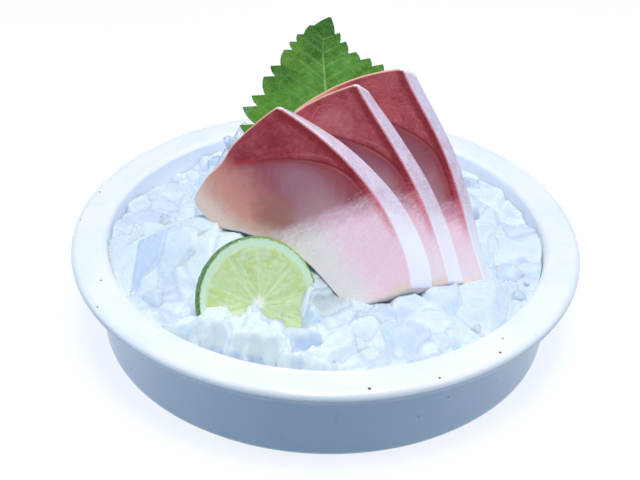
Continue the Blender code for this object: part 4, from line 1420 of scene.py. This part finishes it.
# clear splinters that stick out of the ice beside the leaf: x, y, how far out, and size in mm
SHARDS = np.array(((-45, 50, 2.5, 6), (-39, 53, 3, 6.5), (-51, 55, 1.5, 5), (-41, 45, 3, 6))) * MM
SHARDS[:, 2] += bed_height(SHARDS[:, 0], SHARDS[:, 1])

# %% [markdown]
# Crushed ice is cloudy where it is full of tiny bubbles and clear where it has melted.  Light
# goes deep into it and comes out far away, so even its hollows are bright.

# %% Ice finish
# painted light: the whiter front mound and the bright rims of the lumps
ICE_PAINTED_LIGHT = seen(233, 245, 255)
ICE_MILK = seen(226, 238, 255)
ICE_BLUE = seen(207, 222, 252)
# painted shade: grey for the lumps in the shaded gap beside the lime
ICE_SHADE_GREY = seen(186, 200, 208)
# painted shade in the hollows and the joints between lumps
ICE_HOLLOW_SHADE = seen(192, 208, 230)
# darker painted shade deep in the crevices
ICE_CREVICE_SHADE = seen(140, 158, 172)
ICE_GLOW = (0.8, 0.95, 1.2)       # blue light comes out a little farther away than red


def ice_material(name, clear=0.0, roughness=0.2, alpha=1.0):
    """Cloudy ice, or clearer ice that lets part of the light straight through."""
    ice = Finish(name, IOR=1.31, Transmission_Weight=clear, Alpha=alpha, Subsurface_Weight=1.0,
                 Subsurface_Radius=ICE_GLOW, Subsurface_Scale=1.2 * MM)
    cloud = ice.noise(7 * MM, detail=2)
    frost = ice.noise(1.1 * MM, detail=4)
    ice.feed("Base Color", cloud.step(0.35, 0.65).blend(ICE_BLUE, ICE_MILK))
    ice.feed("Roughness", frost * 0.2 + roughness)
    ice.relief((ice.noise(2.6 * MM, detail=2), 0.2 * MM), (frost, 0.05 * MM))
    return ice.material


def packed_ice_material():
    """Lumps of different tones, frosted all over, with painted blue shade in the hollows and seams between
    them, darker painted shade in the crevices, grey painted shade beside the lime, and painted light on the
    front mound and along the lumps' edges.
    """
    ice = Finish("packed_ice", IOR=1.31, Subsurface_Weight=1.0, Subsurface_Radius=ICE_GLOW,
                 Subsurface_Scale=2.5 * MM)
    tone, gap, height = ice.field("in_ice").parts()
    cloud = ice.noise(6 * MM, detail=5, roughness=0.65)
    crumbs = ice.noise(2.2 * MM, detail=5, roughness=0.7)
    frost = ice.noise(0.9 * MM, detail=4)
    milky = (tone.at_most(1.0) * 0.6 + cloud * 0.7 + crumbs * 0.25 - 0.27).step(0.2, 0.8)
    # painted highlight: a bright rim on each lump, beside the gap to the next
    edge = gap.step(2.4, 1.0) * gap.step(0.2, 0.8) * 0.4
    joint = gap + (crumbs - 0.5) * 1.2
    # painted shade deep in the crevices between lumps
    crevice_shade = joint.step(0.5, 0.0) * height.step(-0.2, -2.0) * cloud.step(0.5, 0.62)
    ice.feed("Base Color", paint(
        # grey painted shade on the lumps with tone below zero, beside the lime
        tone.step(-0.9, -0.2).blend(ICE_SHADE_GREY, milky.blend(ICE_BLUE, ICE_MILK)),
        # painted light on the front mound, and painted highlights on the lumps' edges
        ((tone.step(1.0, 2.4) + edge).at_most(1.0), ICE_PAINTED_LIGHT),
        # painted shade in the hollows and in the joints between lumps
        ((height + cloud * 2.0).step(-1.2, -4.0) * 0.8, ICE_HOLLOW_SHADE),
        (joint.step(0.8, 0.0) * 0.35, ICE_HOLLOW_SHADE),
        (crevice_shade * 0.7, ICE_CREVICE_SHADE)))
    ice.feed("Roughness", frost * 0.3 + 0.12)
    ice.relief((cloud, 0.5 * MM), (crumbs, 0.22 * MM), (frost, 0.03 * MM))
    return ice.material


cloudy = ice_material("cloudy_ice")
clear = ice_material("clear_ice", clear=0.2, roughness=0.06)
splinter = ice_material("splinter_ice", roughness=0.04, alpha=0.5)
splinters = chunks_mesh("ice_shards_mesh", SHARDS[:, :3], SHARDS[:, 3], 64, long=1.5)
add_piece("ice_core", packed_ice_mesh(), packed_ice_material(), "ice", "ice_bed")
add_piece("ice_large", chunks_mesh("ice_large_mesh", *big, 61), cloudy, "ice")
add_piece("ice_chips", chunks_mesh("ice_chips_mesh", *middling, 62), clear, "ice")
add_piece("ice_shards", splinters, splinter, "ice")
add_piece("ice_grains", chunks_mesh("ice_grains_mesh", *small, 63), cloudy, "ice")


# %% [markdown]
# ## Floor, light and camera
#
# The plate stands on a plain pale floor.  A large soft light hangs high above it, so the wall
# under the lip is in soft shade; two cool windows at the sides and a pale blue sky fill that
# shade.  The camera looks down at the plate from the front, as someone at the table does.

# %% Floor
FLOOR_HALF = 1.6
FLOOR_LEVEL = -0.4 * MM


def floor_mesh():
    """A flat square, far larger than the plate and just below its foot."""
    corners = np.array(((-1, -1), (1, -1), (1, 1), (-1, 1))) * FLOOR_HALF
    points = np.concatenate((corners, np.full((4, 1), FLOOR_LEVEL)), axis=1)
    mesh = bpy.data.meshes.new("floor")
    mesh.from_pydata([tuple(point) for point in points], [], [(0, 1, 2, 3)])
    return mesh


pale = Finish("pale_floor", Roughness=0.9, Emission_Strength=0.86)
pale.feed("Base Color", pale.noise(0.4, detail=1).blend(seen(124, 127, 130), seen(128, 131, 134)))
pale.feed("Emission Color", pale.noise(0.4, detail=1).blend(seen(246, 250, 255), seen(250, 252, 255)))
floor = bpy.data.objects.new("floor", floor_mesh())
bpy.context.scene.collection.objects.link(floor)
floor.data.materials.append(pale.material)
floor.visible_diffuse = False     # a dark table would lie under the plate: no bounce from below


# %% Light
FOOD = Vector((0.0, 0.0, 0.04))   # where every light points


def area_light(name, size, power, colour, place):
    """A square soft light at a place, aimed at the food."""
    lamp = bpy.data.lights.new(name, "AREA")
    lamp.size, lamp.energy, lamp.color = size, power, colour
    item = bpy.data.objects.new(name, lamp)
    bpy.context.scene.collection.objects.link(item)
    item.location = place
    item.rotation_euler = (FOOD - Vector(place)).to_track_quat("-Z", "Y").to_euler()


area_light("ceiling", 0.5, 14.6, (1.0, 0.95, 0.88), (0.05, -0.22, 1.3))
area_light("left_window", 0.8, 3.8, (0.66, 0.83, 1.0), (-1.3, 0.1, 0.35))
area_light("right_window", 0.8, 2.9, (0.74, 0.87, 1.0), (1.3, 0.0, 0.45))
world = bpy.data.worlds.new("pale_sky")
world.use_nodes = True
sky = world.node_tree.nodes["Background"]
sky.inputs["Color"].default_value = (0.38, 0.64, 1.0, 1.0)
sky.inputs["Strength"].default_value = 0.33
bpy.context.scene.world = world
bpy.context.scene.view_settings.view_transform = "Standard"

# %% Camera
RAISED = math.radians(33.47)      # the camera looks down by this much
ROLLED = math.radians(1.63)
DISTANCE = 0.525
LENS, SENSOR = 70.76, 36.0
aim = Vector((0.0, 0.0, 0.038))
lens = bpy.data.cameras.new("camera")
lens.lens, lens.sensor_width = LENS, SENSOR
camera = bpy.data.objects.new("camera", lens)
bpy.context.scene.collection.objects.link(camera)
camera.location = aim + DISTANCE * Vector((0, -math.cos(RAISED), math.sin(RAISED)))
turned = Matrix.Rotation(math.pi / 2 - RAISED, 4, "X") @ Matrix.Rotation(ROLLED, 4, "Z")
camera.rotation_euler = turned.to_euler()
lens.shift_x, lens.shift_y = -0.0098, -0.0103
lens.clip_start = 0.01
bpy.context.scene.camera = camera

# %% Finish
bpy.context.view_layer.update()
